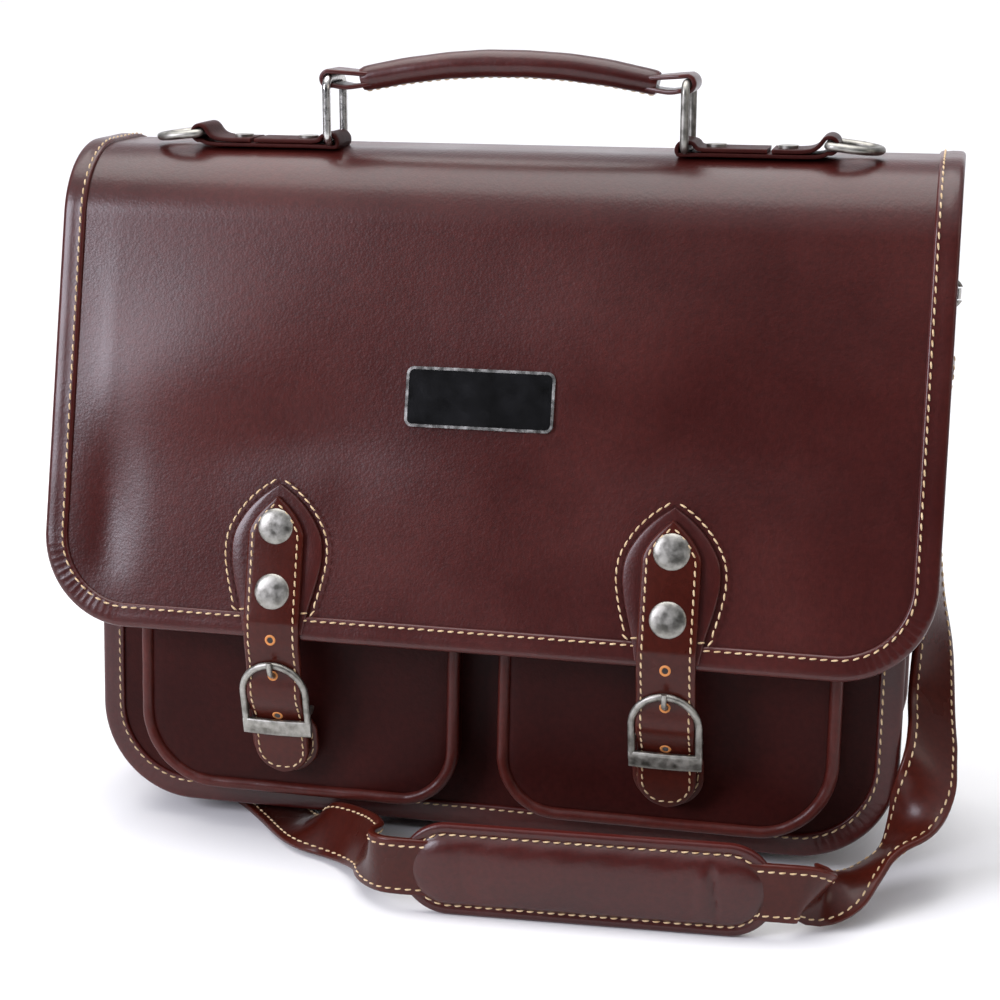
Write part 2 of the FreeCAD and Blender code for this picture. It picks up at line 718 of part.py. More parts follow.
def grip_arc(reach):
    """The handle's arch as an edge through its two ends and its middle."""
    middle = V(0, HANDLE_Y, GRIP_END_Z + GRIP_RISE)
    return Part.Arc(V(-reach, HANDLE_Y, GRIP_END_Z), middle, V(reach, HANDLE_Y, GRIP_END_Z)).toShape()


def swept(path, profile):
    return Part.Wire([path]).makePipeShell([profile], True, True)


def grip_section(radius):
    start = grip_arc(GRIP_END_X)
    direction = start.tangentAt(start.FirstParameter)
    return Part.Wire(Part.Circle(V(-GRIP_END_X, HANDLE_Y, GRIP_END_Z), direction, radius).toShape())


def handle_grip():
    """The leather sleeve of the handle."""
    arc = grip_arc(GRIP_END_X)
    return swept(arc, grip_section(GRIP_R)).cut(swept(arc, grip_section(GRIP_R - SLEEVE_WALL)))


def handle_core():
    """The cord inside the grip, whose flat ends turn round the rings' upper bars."""
    bore = RING_WIRE + 0.1
    outer = bore + 1.9
    y0 = HANDLE_Y - CHAPE_HALF
    y1 = HANDLE_Y + CHAPE_HALF
    start_x = GRIP_END_X + CORE_STEP
    shape = swept(grip_arc(GRIP_END_X), grip_section(GRIP_R - SLEEVE_WALL - GAP))
    bores = []
    for side in (-1, 1):
        x = side * RING_X
        end_x = side * start_x
        loop = rod(outer, (x, y0, RING_HIGH_Z), (x, y1, RING_HIGH_Z))
        strip = box(min(x, end_x), max(x, end_x), y0, y1, RING_HIGH_Z - outer, RING_HIGH_Z + outer)
        stub = rod(GRIP_R - 2.8, (side * (GRIP_END_X - 2), HANDLE_Y, GRIP_END_Z), (x, HANDLE_Y, GRIP_END_Z))
        shape = shape.fuse([loop, strip, stub])
        bores.append(rod(bore, (x, y0 - 1, RING_HIGH_Z), (x, y1 + 1, RING_HIGH_Z)))
    return shape.cut(Part.makeCompound(bores)).removeSplitter()


# ---- Shoulder strap ----


def pad_direction():
    return (V(*PAD_END, 0) - V(*PAD_START, 0)).normalize()


def pad_level():
    return FLOOR_Z + PAD_HEIGHT / 2 + 0.3


def strap_stations():
    """Points on the strap's middle line with the way its outer face looks there."""
    along = pad_direction()
    outward = V(along.y, -along.x, 0)
    left = V(*PAD_START, pad_level()) - along * PAD_LEAD
    right = V(*PAD_END, pad_level()) + along * PAD_LEAD
    return [
        (V(-SHOULDER_X, 0, EYE_Z - 4), V(1, 0, 0)),
        (V(-SHOULDER_X, 0, 130), V(1, 0, 0)),
        (V(-SHOULDER_X, 0, 62), V(1, 0, 0)),
        (V(-188.5, 1, 32), V(1, 0, 0)),
        (V(-181, 4, 9), V(0.8, 0, 0.6)),
        (V(-165, 4, FLAT + 3), V(0.3, 0, 1)),
        (V(-146, -5, FLAT), V(0, 0, 1)),
        (V(-127, -17, FLAT), V(0, 0, 1)),
        (V(-110, -30.5, FLAT), V(0, 0, 1)),
        (V(-96, -45, FLAT), V(0, 0, 1)),
        (V(-84, -59.6, FLAT + 1.2), V(-0.05, -0.07, 0.99)),
        (V(-73, -72, FLAT + 6.5), V(-0.3, -0.4, 0.87)),
        (V(-62, -79, 3.6), V(-0.45, -0.6, 0.64)),
        (V(-50, -88, 6.5), V(-0.45, -0.68, 0.56)),
        (V(-39, -102, 10), V(-0.35, -0.8, 0.45)),
        (left, outward),
        (right, outward),
        (V(151.5, -101, 6.9), V(0.25, -0.9, 0.3)),
        (V(158.7, -93, 6.5), V(0.1, -0.6, 0.75)),
        (V(165.4, -84, 7.9), V(-0.35, -0.15, 0.9)),
        (V(172.1, -75, 10.3), V(-0.58, 0.05, 0.78)),
        (V(179.4, -68, 15.1), V(-0.68, 0, 0.66)),
        (V(185.4, -62, 22.6), V(-0.62, -0.5, 0.58)),
        (V(189.6, -58, 32.6), V(-0.2, -0.9, 0.35)),
        (V(192.6, -52.5, 43.5), V(0.25, -0.95, 0.1)),
        (V(193.4, -41, 54.5), V(0.48, -0.87, 0)),
        (V(191.8, -29, 67.9), V(0.63, -0.77, 0)),
        (V(191, -19, 92), V(0.8, -0.6, 0)),
        (V(189.6, -10, 114), V(0.96, -0.28, 0)),
        (V(SHOULDER_X, -3, 140), V(1, 0, 0)),
        (V(SHOULDER_X, 0, EYE_Z - 4), V(1, 0, 0)),
    ]


def strap_section(point, heading, outward):
    """The strap's rectangular cross section as a closed wire."""
    heading = V(heading).normalize()
    normal = (outward - heading * outward.dot(heading)).normalize()
    across = heading.cross(normal)
    half_w = across * (SHOULDER_WIDTH / 2)
    half_t = normal * (SHOULDER_THICK / 2)
    corners = [
        point + half_w + half_t,
        point - half_w + half_t,
        point - half_w - half_t,
        point + half_w - half_t,
    ]
    return Part.makePolygon(corners + corners[:1])


def shoulder_strap():
    """One length of leather from hook to hook, with a loop round each hook's eye."""
    stations = strap_stations()
    wires = []
    for i, (point, outward) in enumerate(stations):
        before = stations[max(i - 1, 0)][0]
        after = stations[min(i + 1, len(stations) - 1)][0]
        at_pad = abs(outward.y) > 0.99
        heading = pad_direction() if at_pad else after - before
        wires.append(strap_section(point, heading, outward))
    lengths = [Part.makeLoft(list(pair), True, True) for pair in zip(wires, wires[1:])]
    strap = lengths[0].fuse(lengths[1:])
    half = SHOULDER_WIDTH / 2
    for side in (-1, 1):
        eye = (side * HOOK_X, EYE_Z)
        drum = rod(STRAP_DRUM_R, (eye[0], -half, eye[1]), (eye[0], half, eye[1]))
        inner = side * (SHOULDER_X - SHOULDER_THICK / 2)
        outer = side * (SHOULDER_X + SHOULDER_THICK / 2)
        cheek = box(min(inner, outer), max(inner, outer), -half, half, EYE_Z - STRAP_DRUM_R, EYE_Z)
        bore = rod(HOOK_WIRE + GAP, (eye[0], -half - 1, eye[1]), (eye[0], half + 1, eye[1]))
        strap = strap.fuse([drum, cheek]).cut(bore)
    return strap


def on_pad(shape):
    """Turns a shape drawn along X at the origin to lie along the strap on the floor."""
    along = pad_direction()
    moved = shape.copy()
    moved.rotate(V(0, 0, 0), V(0, 0, 1), math.degrees(math.atan2(along.y, along.x)))
    middle = (V(*PAD_START, 0) + V(*PAD_END, 0)) * 0.5
    moved.translate(V(middle.x, middle.y, pad_level()))
    return moved


def pad_layer(y0, y1):
    """Half of the pad: a long plate with round ends, channelled for the strap."""
    half_length = (V(*PAD_END, 0) - V(*PAD_START, 0)).Length / 2
    half_height = PAD_HEIGHT / 2
    end_r = half_height - 0.5
    layer = plate(-half_length, half_length, -half_height, half_height, y0, y1, end_r, end_r, end_r, end_r)
    channel_z = SHOULDER_WIDTH / 2 + 0.4
    channel_y = SHOULDER_THICK / 2 + 0.3
    channel = box(-half_length - 1, half_length + 1, -channel_y, channel_y, -channel_z, channel_z)
    return on_pad(layer.cut(channel))


def shoulder_pad():
    return pad_layer(-PAD_THICK - 1.2, -GAP / 2)


def shoulder_pad_back():
    return pad_layer(GAP / 2, 3.6)


def hook_loop_z():
    """The height of the middle of the hook's loop, which hangs from the side ring."""
    ring_foot = SIDE_LOOP_Z - SIDE_RING_R * math.cos(math.radians(SIDE_RING_TILT))
    return ring_foot - HOOK_DROP


def hook():
    """A snap hook: an open loop on the side ring, a neck and a square eye for the strap."""
    loop_z = hook_loop_z()
    loop = Part.makeTorus(HOOK_R, HOOK_WIRE, V(HOOK_X, 0, loop_z), V(0, 1, 0))
    mouth = box(HOOK_X + 2, HOOK_X + 20, -5, 5, loop_z - HOOK_MOUTH, loop_z + HOOK_MOUTH)
    neck_top = loop_z - HOOK_R
    neck = rod(2.2, (HOOK_X, 0, neck_top), (HOOK_X, 0, EYE_Z + 7))
    collar = rod(3.6, (HOOK_X, 0, EYE_Z + 9), (HOOK_X, 0, EYE_Z + 14))
    reach = SHOULDER_WIDTH / 2 + 2.2
    corners = [
        (HOOK_X, -reach, EYE_Z),
        (HOOK_X, reach, EYE_Z),
        (HOOK_X, reach, EYE_Z + 8),
        (HOOK_X, -reach, EYE_Z + 8),
    ]
    eye = tube_along(corners + corners[:2], HOOK_WIRE)
    return loop.cut(mouth).fuse([neck, collar, eye]).removeSplitter()


def hook_gate():
    """The sprung bar that closes the hook's mouth."""
    x = HOOK_X + math.sqrt(HOOK_R**2 - HOOK_MOUTH**2)
    reach = HOOK_MOUTH - 0.75
    return rod(GATE_R, (x, 0, hook_loop_z() - reach), (x, 0, hook_loop_z() + reach))


# ---- Everything, by name ----

SINGLE = {
    "front_panel": front_panel,
    "front_binding": front_binding,
    "back_panel": back_panel,
    "back_binding": back_binding,
    "gusset": gusset,
    "lining": lining,
    "side_rivets": side_rivets,
    "base_feet": base_feet,
    "snap_sockets": snap_sockets,
    "base_board": base_board,
    "divider": divider,
    "flap_top_panel": flap_top_panel,
    "flap_top_binding": flap_top_binding,
    "top_stiffener": top_stiffener,
    "chape_rivets": chape_rivets,
    "flap_front_panel": flap_front_panel,
    "flap_front_binding": flap_front_binding,
    "name_plate_frame": name_plate_frame,
    "name_plate_face": name_plate_face,
    "handle_grip": handle_grip,
    "handle_core": handle_core,
    "shoulder_strap": shoulder_strap,
    "shoulder_pad": shoulder_pad,
    "shoulder_pad_back": shoulder_pad_back,
}

PAIRED = {
    "pocket_face": pocket_face,
    "pocket_gusset": pocket_gusset,
    "pocket_piping": pocket_piping,
    "side_tab": side_tab,
    "side_ring": side_ring,
    "strap_patch": strap_patch,
    "strap_upper": strap_upper,
    "strap_rivets": strap_rivets,
    "strap_lower": strap_lower,
    "closure_tab": closure_tab,
    "snap_stud": snap_stud,
    "buckle_frame": buckle_frame,
    "prong": prong,
    "handle_ring": handle_ring,
    "chape": chape,
    "dee_ring": dee_ring,
    "hook": hook,
    "hook_gate": hook_gate,
}


def write(shape, name):
    """Raises a piece to stand on the feet and writes it."""
    shape.translate(V(0, 0, FOOT_HEIGHT))
    shape.exportStep(f"parts/{name}.step")


def main():
    os.makedirs("parts", exist_ok=True)
    for name, make in SINGLE.items():
        write(make(), name)
    for name, make in PAIRED.items():
        shape = make()
        write(mirrored(shape), f"left_{name}")
        write(shape, f"right_{name}")


main()
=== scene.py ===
import json
import math

import bmesh
import bpy
import numpy as np
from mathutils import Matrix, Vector


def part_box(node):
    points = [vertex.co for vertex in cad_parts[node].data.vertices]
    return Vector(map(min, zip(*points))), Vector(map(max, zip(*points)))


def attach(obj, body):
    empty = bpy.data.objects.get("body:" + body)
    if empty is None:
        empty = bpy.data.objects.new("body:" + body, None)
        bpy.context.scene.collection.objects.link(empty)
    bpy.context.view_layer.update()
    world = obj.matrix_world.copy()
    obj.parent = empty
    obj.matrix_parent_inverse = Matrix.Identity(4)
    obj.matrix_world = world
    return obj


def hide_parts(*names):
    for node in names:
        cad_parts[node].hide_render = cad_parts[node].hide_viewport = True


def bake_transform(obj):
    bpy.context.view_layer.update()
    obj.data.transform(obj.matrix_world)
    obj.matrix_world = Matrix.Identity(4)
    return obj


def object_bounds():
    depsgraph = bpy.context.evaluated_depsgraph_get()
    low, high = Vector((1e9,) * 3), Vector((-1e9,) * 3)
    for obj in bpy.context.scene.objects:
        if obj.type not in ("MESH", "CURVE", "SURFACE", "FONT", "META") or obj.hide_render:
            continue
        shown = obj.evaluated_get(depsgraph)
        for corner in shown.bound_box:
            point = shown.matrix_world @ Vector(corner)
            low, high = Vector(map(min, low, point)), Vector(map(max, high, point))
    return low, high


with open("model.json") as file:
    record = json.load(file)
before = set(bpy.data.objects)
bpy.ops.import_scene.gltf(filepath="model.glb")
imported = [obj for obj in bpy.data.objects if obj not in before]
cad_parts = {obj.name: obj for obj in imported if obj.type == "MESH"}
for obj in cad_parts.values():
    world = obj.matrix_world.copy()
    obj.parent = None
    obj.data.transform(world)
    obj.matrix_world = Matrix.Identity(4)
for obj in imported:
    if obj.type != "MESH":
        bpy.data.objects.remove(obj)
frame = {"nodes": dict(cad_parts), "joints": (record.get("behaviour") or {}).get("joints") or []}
cad_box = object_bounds()

MM = 0.001
SIDES = {"left": -1, "right": 1}

# ---- Sizes that the frame doesn't state, in metres ----
BINDING_WIDTH = 10.5 * MM
BINDING_HEIGHT = 1.4 * MM
BINDING_SEAM = 0.92 * BINDING_HEIGHT
SHEET_INSET = 1.1 * MM  # a sheet ends this far inside its folded edge strip
FLAP_SHELL = 3.2 * MM
REAR_SHELL = 2.4 * MM
FLAP_CORNER = 40 * MM
REAR_CORNER = 16 * MM
FRONT_ROLL = 38 * MM
REAR_ROLL = 26 * MM
BODY_CORNER = 43.5 * MM
GUSSET_HALF = 177.5 * MM
PANEL = 2.4 * MM
SOFT = 1.8 * MM  # gusset and pocket leather
STITCH_PITCH = 4.3 * MM
FINE_PITCH = 3.9 * MM
STITCH_LENGTH = 3.1 * MM
STITCH_SLANT = 0.12
THREAD_R = 0.42 * MM
STITCH_INSET = 8.6 * MM
STRAP_HALF = 12.5 * MM
STRAP_THICK = 2.5 * MM
PATCH_THICK = 2.0 * MM
PIPING_R = 2.75 * MM
WIRE = 1.9 * MM


def joint_at(name):
    return Vector(next(j["pos_m"] for j in frame["joints"] if j["name"] == name))


# ---- Lines and arrays ----


def spread(*values):
    """The values as arrays of one shape."""
    return np.broadcast_arrays(*(np.asarray(v, float) for v in values))


def unit(v):
    return v / np.maximum(np.linalg.norm(v, axis=-1, keepdims=True), 1e-12)


def heading(line):
    return unit(np.gradient(line, axis=0))


def run_of(line):
    """The length along a line, at each of its points."""
    return np.concatenate([[0], np.cumsum(np.linalg.norm(np.diff(line, axis=0), axis=1))])


def sample(at, run, table):
    """A table's columns, read at lengths along its line."""
    return np.stack([np.interp(at, run, column) for column in table.T], -1)


def hump(x, centre, width):
    return np.exp(-(((x - centre) / width) ** 2))


def ease(t):
    """Rises smoothly from 0 to 1."""
    return t * t * (3 - 2 * t)


def turn_steps(count):
    """Angles once round a circle, as a column."""
    return np.linspace(0, 2 * math.pi, count, endpoint=False)[:, None]


def smooth_line(points, per_span=8):
    """A Catmull-Rom curve through points (any number of columns)."""
    p = np.asarray(points, float)
    last = len(p) - 1
    out = []
    for i in range(last):
        a, b, c, d = (p[min(max(k, 0), last)] for k in (i - 1, i, i + 1, i + 2))
        for t in np.arange(per_span) / per_span:
            curve = (2 * a - 5 * b + 4 * c - d) * t**2 + (3 * b - a - 3 * c + d) * t**3
            out.append(0.5 * (2 * b + (c - a) * t + curve))
    return np.array(out + [p[-1]])


# ---- Materials ----


class Tree:
    """The nodes of a material or world; textures use object coordinates, in cycles per metre."""

    def __init__(self, owner, coords="Object"):
        owner.use_nodes = True
        self.owner = owner
        self.nodes = owner.node_tree.nodes
        self.coords = self.nodes.new("ShaderNodeTexCoord").outputs[coords]

    def feed(self, socket, value):
        """Gives a socket a number, a colour or another node's output."""
        if isinstance(value, bpy.types.NodeSocket):
            self.owner.node_tree.links.new(value, socket)
        else:
            socket.default_value = (*value, 1) if isinstance(value, tuple) else value

    def give(self, node, **inputs):
        """Feeds a node's inputs, named with _ for each space."""
        for name, value in inputs.items():
            self.feed(node.inputs[name.replace("_", " ")], value)
        return node

    def add(self, kind, **inputs):
        return self.give(self.nodes.new("ShaderNode" + kind), **inputs)

    def texture(self, kind, scale, **inputs):
        return self.add("Tex" + kind, Scale=scale, Vector=self.coords, **inputs)

    def noise(self, scale, detail):
        return self.texture("Noise", scale, Detail=detail).outputs["Fac"]

    def ramp(self, source, low, dark, high, light):
        node = self.add("ValToRGB", Fac=source)
        for element, place, color in zip(node.color_ramp.elements, (low, high), (dark, light)):
            element.position = place
            element.color = (*color, 1)
        return node.outputs["Color"]

    def remap(self, source, low, high, from_low=0.3, from_high=0.7):
        span = dict(From_Min=from_low, From_Max=from_high, To_Min=low, To_Max=high)
        return self.add("MapRange", Value=source, **span).outputs["Result"]

    def mix(self, factor, a, b, blend="MIX"):
        node = self.add("Mix")
        node.data_type = "RGBA"
        node.blend_type = blend
        for socket, value in ((0, factor), (6, a), (7, b)):
            self.feed(node.inputs[socket], value)
        return node.outputs[2]

    def combine(self, operation, a, b):
        node = self.add("Math")
        node.operation = operation
        self.feed(node.inputs[0], a)
        self.feed(node.inputs[1], b)
        return node.outputs[0]

    def bump(self, height, strength, distance, **under):
        node = self.add("Bump", Height=height, Strength=strength, Distance=distance, **under)
        return node.outputs["Normal"]

    def rubbed(self, high, from_low, from_high, tone, color):
        """The tone, turned to another colour along raised edges."""
        edges = self.add("NewGeometry").outputs["Pointiness"]
        return self.mix(self.remap(edges, 0.0, high, from_low, from_high), tone, color)

    def surface(self, **inputs):
        self.give(self.nodes["Principled BSDF"], **inputs)
        return self.owner


def new_tree(name):
    return Tree(bpy.data.materials.new(name))


def leather(name, dark, light, roughness, grain, coat, shine):
    """Finished leather: mottled dye, fine pebbled grain, soft wear on its edges and a waxed coat."""
    tree = new_tree(name)
    cloud = tree.noise(14, 6)
    fine = tree.noise(420, 4)
    pores = tree.texture("Voronoi", 900)
    cells = tree.texture("Voronoi", 430)
    cells.feature = "SMOOTH_F1"
    dye = tree.ramp(cloud, 0.32, dark, 0.72, light)
    dye = tree.mix(1.0, dye, tree.remap(fine, 0.82, 1.12), "MULTIPLY")
    pebbles = tree.combine("ADD", pores.outputs["Distance"], cells.outputs["Distance"])
    pebbles = tree.combine("ADD", pebbles, fine)
    return tree.surface(
        Base_Color=tree.rubbed(0.55, 0.52, 0.6, dye, tuple(2.1 * c for c in light)),
        Roughness=tree.remap(cloud, roughness - 0.05, roughness + 0.1),
        Specular_IOR_Level=shine,
        Coat_Weight=coat,
        Coat_Roughness=0.24,
        Normal=tree.bump(cloud, 0.12, 2 * MM, Normal=tree.bump(pebbles, grain, 0.12 * MM)),
    )


def metal(name, dark, light, roughness, patina):
    """Antique metal: cloudy patina, dark hollows, bright rubbed edges and fine scratches."""
    tree = new_tree(name)
    cloud = tree.noise(260, 8)
    tone = tree.ramp(cloud, 0.35, dark, 0.65, light)
    return tree.surface(
        Base_Color=tree.rubbed(patina, 0.5, 0.6, tone, tuple(min(1, c * 1.5) for c in light)),
        Metallic=1.0,
        Roughness=tree.remap(cloud, roughness - 0.08, roughness + 0.12),
        Normal=tree.bump(tree.noise(1500, 3), 0.15, 0.05 * MM),
    )


def thread_material():
    tree = new_tree("thread")
    twist = tree.texture("Wave", 900, Detail=0).outputs["Fac"]
    return tree.surface(
        Base_Color=tree.ramp(tree.noise(300, 3), 0.3, (0.46, 0.29, 0.13), 0.7, (0.74, 0.56, 0.33)),
        Roughness=0.7,
        Sheen_Weight=0.3,
        Normal=tree.bump(twist, 0.5, 0.1 * MM),
    )


def cloth_material(name, dark, light, threads=900):
    """Woven cloth: two crossed waves over a mottled colour."""
    tree = new_tree(name)
    warp, weft = (tree.texture("Wave", threads, Detail=0) for _ in range(2))
    weft.bands_direction = "Z"
    weave = tree.combine("MULTIPLY", warp.outputs["Fac"], weft.outputs["Fac"])
    return tree.surface(
        Base_Color=tree.ramp(tree.noise(40, 4), 0.3, dark, 0.7, light),
        Roughness=0.85,
        Sheen_Weight=0.4,
        Normal=tree.bump(weave, 0.5, 0.3 * MM),
    )


def gloss_black():
    tree = new_tree("gloss_black")
    haze = tree.noise(90, 3)
    return tree.surface(
        Base_Color=tree.ramp(haze, 0.3, (0.004, 0.004, 0.004), 0.7, (0.009, 0.009, 0.01)),
        Roughness=tree.remap(haze, 0.08, 0.16),
    )


BURGUNDY = leather("burgundy", (0.034, 0.0042, 0.0034), (0.058, 0.0076, 0.0056), 0.33, 0.5, 0.4, 0.22)
DARK = leather("dark_burgundy", (0.02, 0.0026, 0.002), (0.036, 0.0048, 0.0036), 0.42, 0.4, 0.0, 0.1)
TRIM = leather("trim", (0.046, 0.0065, 0.0045), (0.08, 0.0125, 0.0085), 0.36, 0.35, 0.1, 0.2)
STRAPPING = leather("strapping", (0.036, 0.0048, 0.0026), (0.062, 0.0088, 0.0046), 0.28, 0.25, 0.15, 0.18)
RAW = leather("raw_hide", (0.36, 0.13, 0.035), (0.5, 0.2, 0.06), 0.6, 0.5, 0.0, 0.3)
PEWTER = metal("pewter", (0.13, 0.125, 0.11), (0.36, 0.35, 0.32), 0.4, 0.5)
NICKEL = metal("nickel", (0.42, 0.41, 0.39), (0.62, 0.61, 0.58), 0.24, 0.15)
THREAD = thread_material()
LINING = cloth_material("lining", (0.03, 0.02, 0.016), (0.05, 0.034, 0.027))
BOARD = cloth_material("board_cover", (0.04, 0.022, 0.016), (0.06, 0.034, 0.024), 600)
BLACK = gloss_black()
# painted shade for the strap holes: a near-black fill that stands for the shadow inside each hole
HOLE_SHADOW = cloth_material("hole_shadow", (0.004, 0.002, 0.002), (0.008, 0.004, 0.003))

# ---- Mesh building ----


def settle(obj, on, nodes=(), slot=None):
    """Joins a piece to a body, or for a bend between two bodies only bakes its placement into its mesh, and
    hides the nodes it stands for.
    """
    if isinstance(on, str):
        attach(obj, on)
    else:
        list(on)
        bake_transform(obj)
    if nodes:
        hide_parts(*nodes)


def mesh_object(name, points, faces, material, inner=None, sharp=45):
    """A smooth-shaded object; inner, if given, is a material and the faces that take it."""
    mesh = bpy.data.meshes.new(name)
    mesh.from_pydata(np.asarray(points, float).reshape(-1, 3).tolist(), [], faces)
    mesh.materials.append(material)
    if inner is not None:
        mesh.materials.append(inner[0])
        for index in inner[1]:
            mesh.polygons[index].material_index = 1
    work = bmesh.new()
    work.from_mesh(mesh)
    bmesh.ops.recalc_face_normals(work, faces=work.faces)
    work.to_mesh(mesh)
    work.free()
    mesh.shade_smooth()
    mesh.set_sharp_from_angle(angle=math.radians(sharp))
    obj = bpy.data.objects.new(name, mesh)
    bpy.context.scene.collection.objects.link(obj)
    return obj


def grid_faces(rows, columns, start=0, wrap=False):
    faces = []
    for r in range(rows - 1):
        here = start + r * columns
        for c in range(columns if wrap else columns - 1):
            d = (c + 1) % columns
            faces.append((here + c, here + d, here + columns + d, here + columns + c))
    return faces


def slab(name, outer, inner, material, inner_material=None):
    """A closed sheet between two grids of points of the same shape."""
    rows, columns = outer.shape[:2]
    count = rows * columns
    faces = grid_faces(rows, columns)
    back_faces = range(len(faces), 2 * len(faces))
    faces += grid_faces(rows, columns, count)
    rim = [r * columns for r in range(rows)]
    rim += [(rows - 1) * columns + c for c in range(1, columns)]
    rim += [r * columns + columns - 1 for r in range(rows - 2, -1, -1)]
    rim += list(range(columns - 2, 0, -1))
    faces += [(a, b, b + count, a + count) for a, b in zip(rim, rim[1:] + rim[:1])]
    points = np.concatenate([outer.reshape(-1, 3), inner.reshape(-1, 3)])
    lined = (inner_material, back_faces) if inner_material else None
    return mesh_object(name, points, faces, material, lined)


def tube_mesh(name, rings, material, closed=False, sharp=45):
    """A skin over rings of points; open ends get a cap."""
    rows, columns = rings.shape[:2]
    count = rows * columns
    if closed:
        faces = [tuple(i % count for i in face) for face in grid_faces(rows + 1, columns, wrap=True)]
    else:
        faces = grid_faces(rows, columns, wrap=True)
        faces += [tuple(range(columns)), tuple(range(count - columns, count))]
    return mesh_object(name, rings, faces, material, sharp=sharp)


def wire(name, points, radius, material, closed, up, segments=14, flat=1.0):
    """A round or flattened bar along a line of points."""
    p = np.asarray(points, float)
    tangent = unit(np.roll(p, -1, 0) - np.roll(p, 1, 0)) if closed else heading(p)
    side = unit(np.cross(tangent, np.array(up, float)))
    over = unit(np.cross(side, tangent))
    angle = turn_steps(segments)
    across = radius * np.cos(angle) * side[:, None]
    rings = p[:, None] + across + radius * flat * np.sin(angle) * over[:, None]
    return tube_mesh(name, rings, material, closed)


class Ribbon:
    """A strip of leather's middle line: l runs along it, a across it, out along its outer side."""

    def __init__(self, points, normals):
        self.p = np.asarray(points, float)
        self.l = run_of(self.p)
        self.length = self.l[-1]
        tangent = heading(self.p)
        n = np.asarray(normals, float)
        self.n = unit(n - tangent * (n * tangent).sum(1, keepdims=True))
        self.a = unit(np.cross(tangent, self.n))

    def __call__(self, a, l, out):
        a, l, out = spread(a, l, out)
        middle, across, normal = (sample(l, self.l, table) for table in (self.p, self.a, self.n))
        return middle + a[..., None] * across + out[..., None] * normal


def strap_section(half, low, high, edge, crown):
    """A strap's cross section: flat faces, softly rounded edges, drawn as a closed loop."""
    edge = min(edge, (high - low) / 2, half * 0.9)
    inner = np.linspace(edge - half, half - edge, 9)
    rise = crown * (1 - (inner / half) ** 2)
    top = [(x, high + r) for x, r in zip(inner, rise)]
    bottom = [(x, low) for x in inner[::-1]]
    right = [(half - 0.3 * edge, high - 0.3 * edge), (half, high - edge)]
    right += [(half, low + edge), (half - 0.3 * edge, low + 0.3 * edge)]
    left = [(-x, o) for x, o in right[::-1]]
    return np.array(top + right + bottom + left)


def strip(name, surface, stations, half, low, high, material, edge=0.7 * MM, crown=0.15 * MM):
    """A strap on a surface: half is its half width, one for all stations or one for each."""
    sections = [strap_section(width, low, high, edge, crown) for width in spread(half, stations)[0]]
    rings = [surface(s[:, 0], station, s[:, 1]) for s, station in zip(sections, stations)]
    return tube_mesh(name, np.array(rings), material)


def outward(surface, x, up):
    return surface(x, up, 1.0) - surface(x, up, 0.0)


def stitch_row(name, points, normals, pitch=STITCH_PITCH):
    """Thread: one sunk-ended stitch every pitch along a line on the leather."""
    p = np.asarray(points, float)
    run = run_of(p)
    count = max(1, int(run[-1] / pitch))
    places = (np.arange(count) + 0.5) * run[-1] / count
    centre = sample(places, run, p)
    normal = unit(sample(places, run, normals))
    tangent = unit(sample(places + 0.3 * pitch, run, p) - sample(places - 0.3 * pitch, run, p))
    side = unit(np.cross(normal, tangent))
    rows, columns = 7, 6
    t = np.linspace(-1, 1, rows)[:, None]
    ring = turn_steps(columns)[:, 0]
    fat = THREAD_R * np.sqrt(1 - (0.93 * t) ** 2)
    along = t * STITCH_LENGTH / 2 + 0 * ring
    across = t * STITCH_LENGTH / 2 * STITCH_SLANT + fat * np.cos(ring)
    height = 0.25 * MM - 0.55 * MM * t**4 + fat * np.sin(ring)
    stitch = np.stack([along, across, height], -1).reshape(-1, 3)
    verts = centre[:, None] + stitch @ np.stack([tangent, side, normal], 1)
    size = rows * columns
    skin = grid_faces(rows, columns, wrap=True)
    skin += [tuple(range(columns)), tuple(range(size - columns, size))]
    faces = [tuple(i + k * size for i in face) for k in range(count) for face in skin]
    return mesh_object(name, verts, faces, THREAD, sharp=80)


def sew(name, surface, x, up, out, on, side=1, **row):
    """A stitch row on a surface; side is -1 where its stitches stand out of the back."""
    settle(stitch_row(name, surface(x, up, out), outward(surface, x, up) * side, **row), on)


def drawn_in(line, inset):
    """An outline's x and up, moved inwards."""
    return line[:, 0] + inset * line[:, 2], line[:, 1] + inset * line[:, 3]


def lathe(name, profile, centre, axis, material, segments):
    """A turned piece: profile holds (radius, height along axis) in mm, from the middle out."""
    axis = unit(np.array(axis, float))
    side = unit(np.cross(axis, (0.3, 0.2, 1.0)))
    angle = turn_steps(segments)
    circle = np.cos(angle) * side + np.sin(angle) * np.cross(axis, side)
    rings = [np.array(centre) + (r * circle + h * axis) * MM for r, h in profile]
    return tube_mesh(name, np.array(rings), material)


def u_line(x0, x1, foot, top, r0, r1, step):
    """A U outline, from its top left down, across and up: x, up, and the way inwards."""

    def straight(a, b, inward):
        count = max(2, int(math.dist(a, b) / step))
        t = np.linspace(0, 1, count, endpoint=False)[:, None]
        return np.hstack([np.array(a) + (np.array(b) - a) * t, np.tile(inward, (count, 1))])

    def corner(x, radius, start):
        count = max(6, int(radius * math.pi / 2 / (0.6 * step)))
        angle = np.linspace(start, start + math.pi / 2, count, endpoint=False)
        way = np.stack([np.cos(angle), np.sin(angle)], 1)
        return np.hstack([(x, foot + radius) + radius * way, -way])

    parts = [straight((x0, top), (x0, foot + r0), (1, 0)), corner(x0 + r0, r0, math.pi)]
    parts += [straight((x0 + r0, foot), (x1 - r1, foot), (0, 1)), corner(x1 - r1, r1, 1.5 * math.pi)]
    parts += [straight((x1, foot + r1), (x1, top), (-1, 0)), [[x1, top, -1, 0]]]
    return np.vstack(parts)


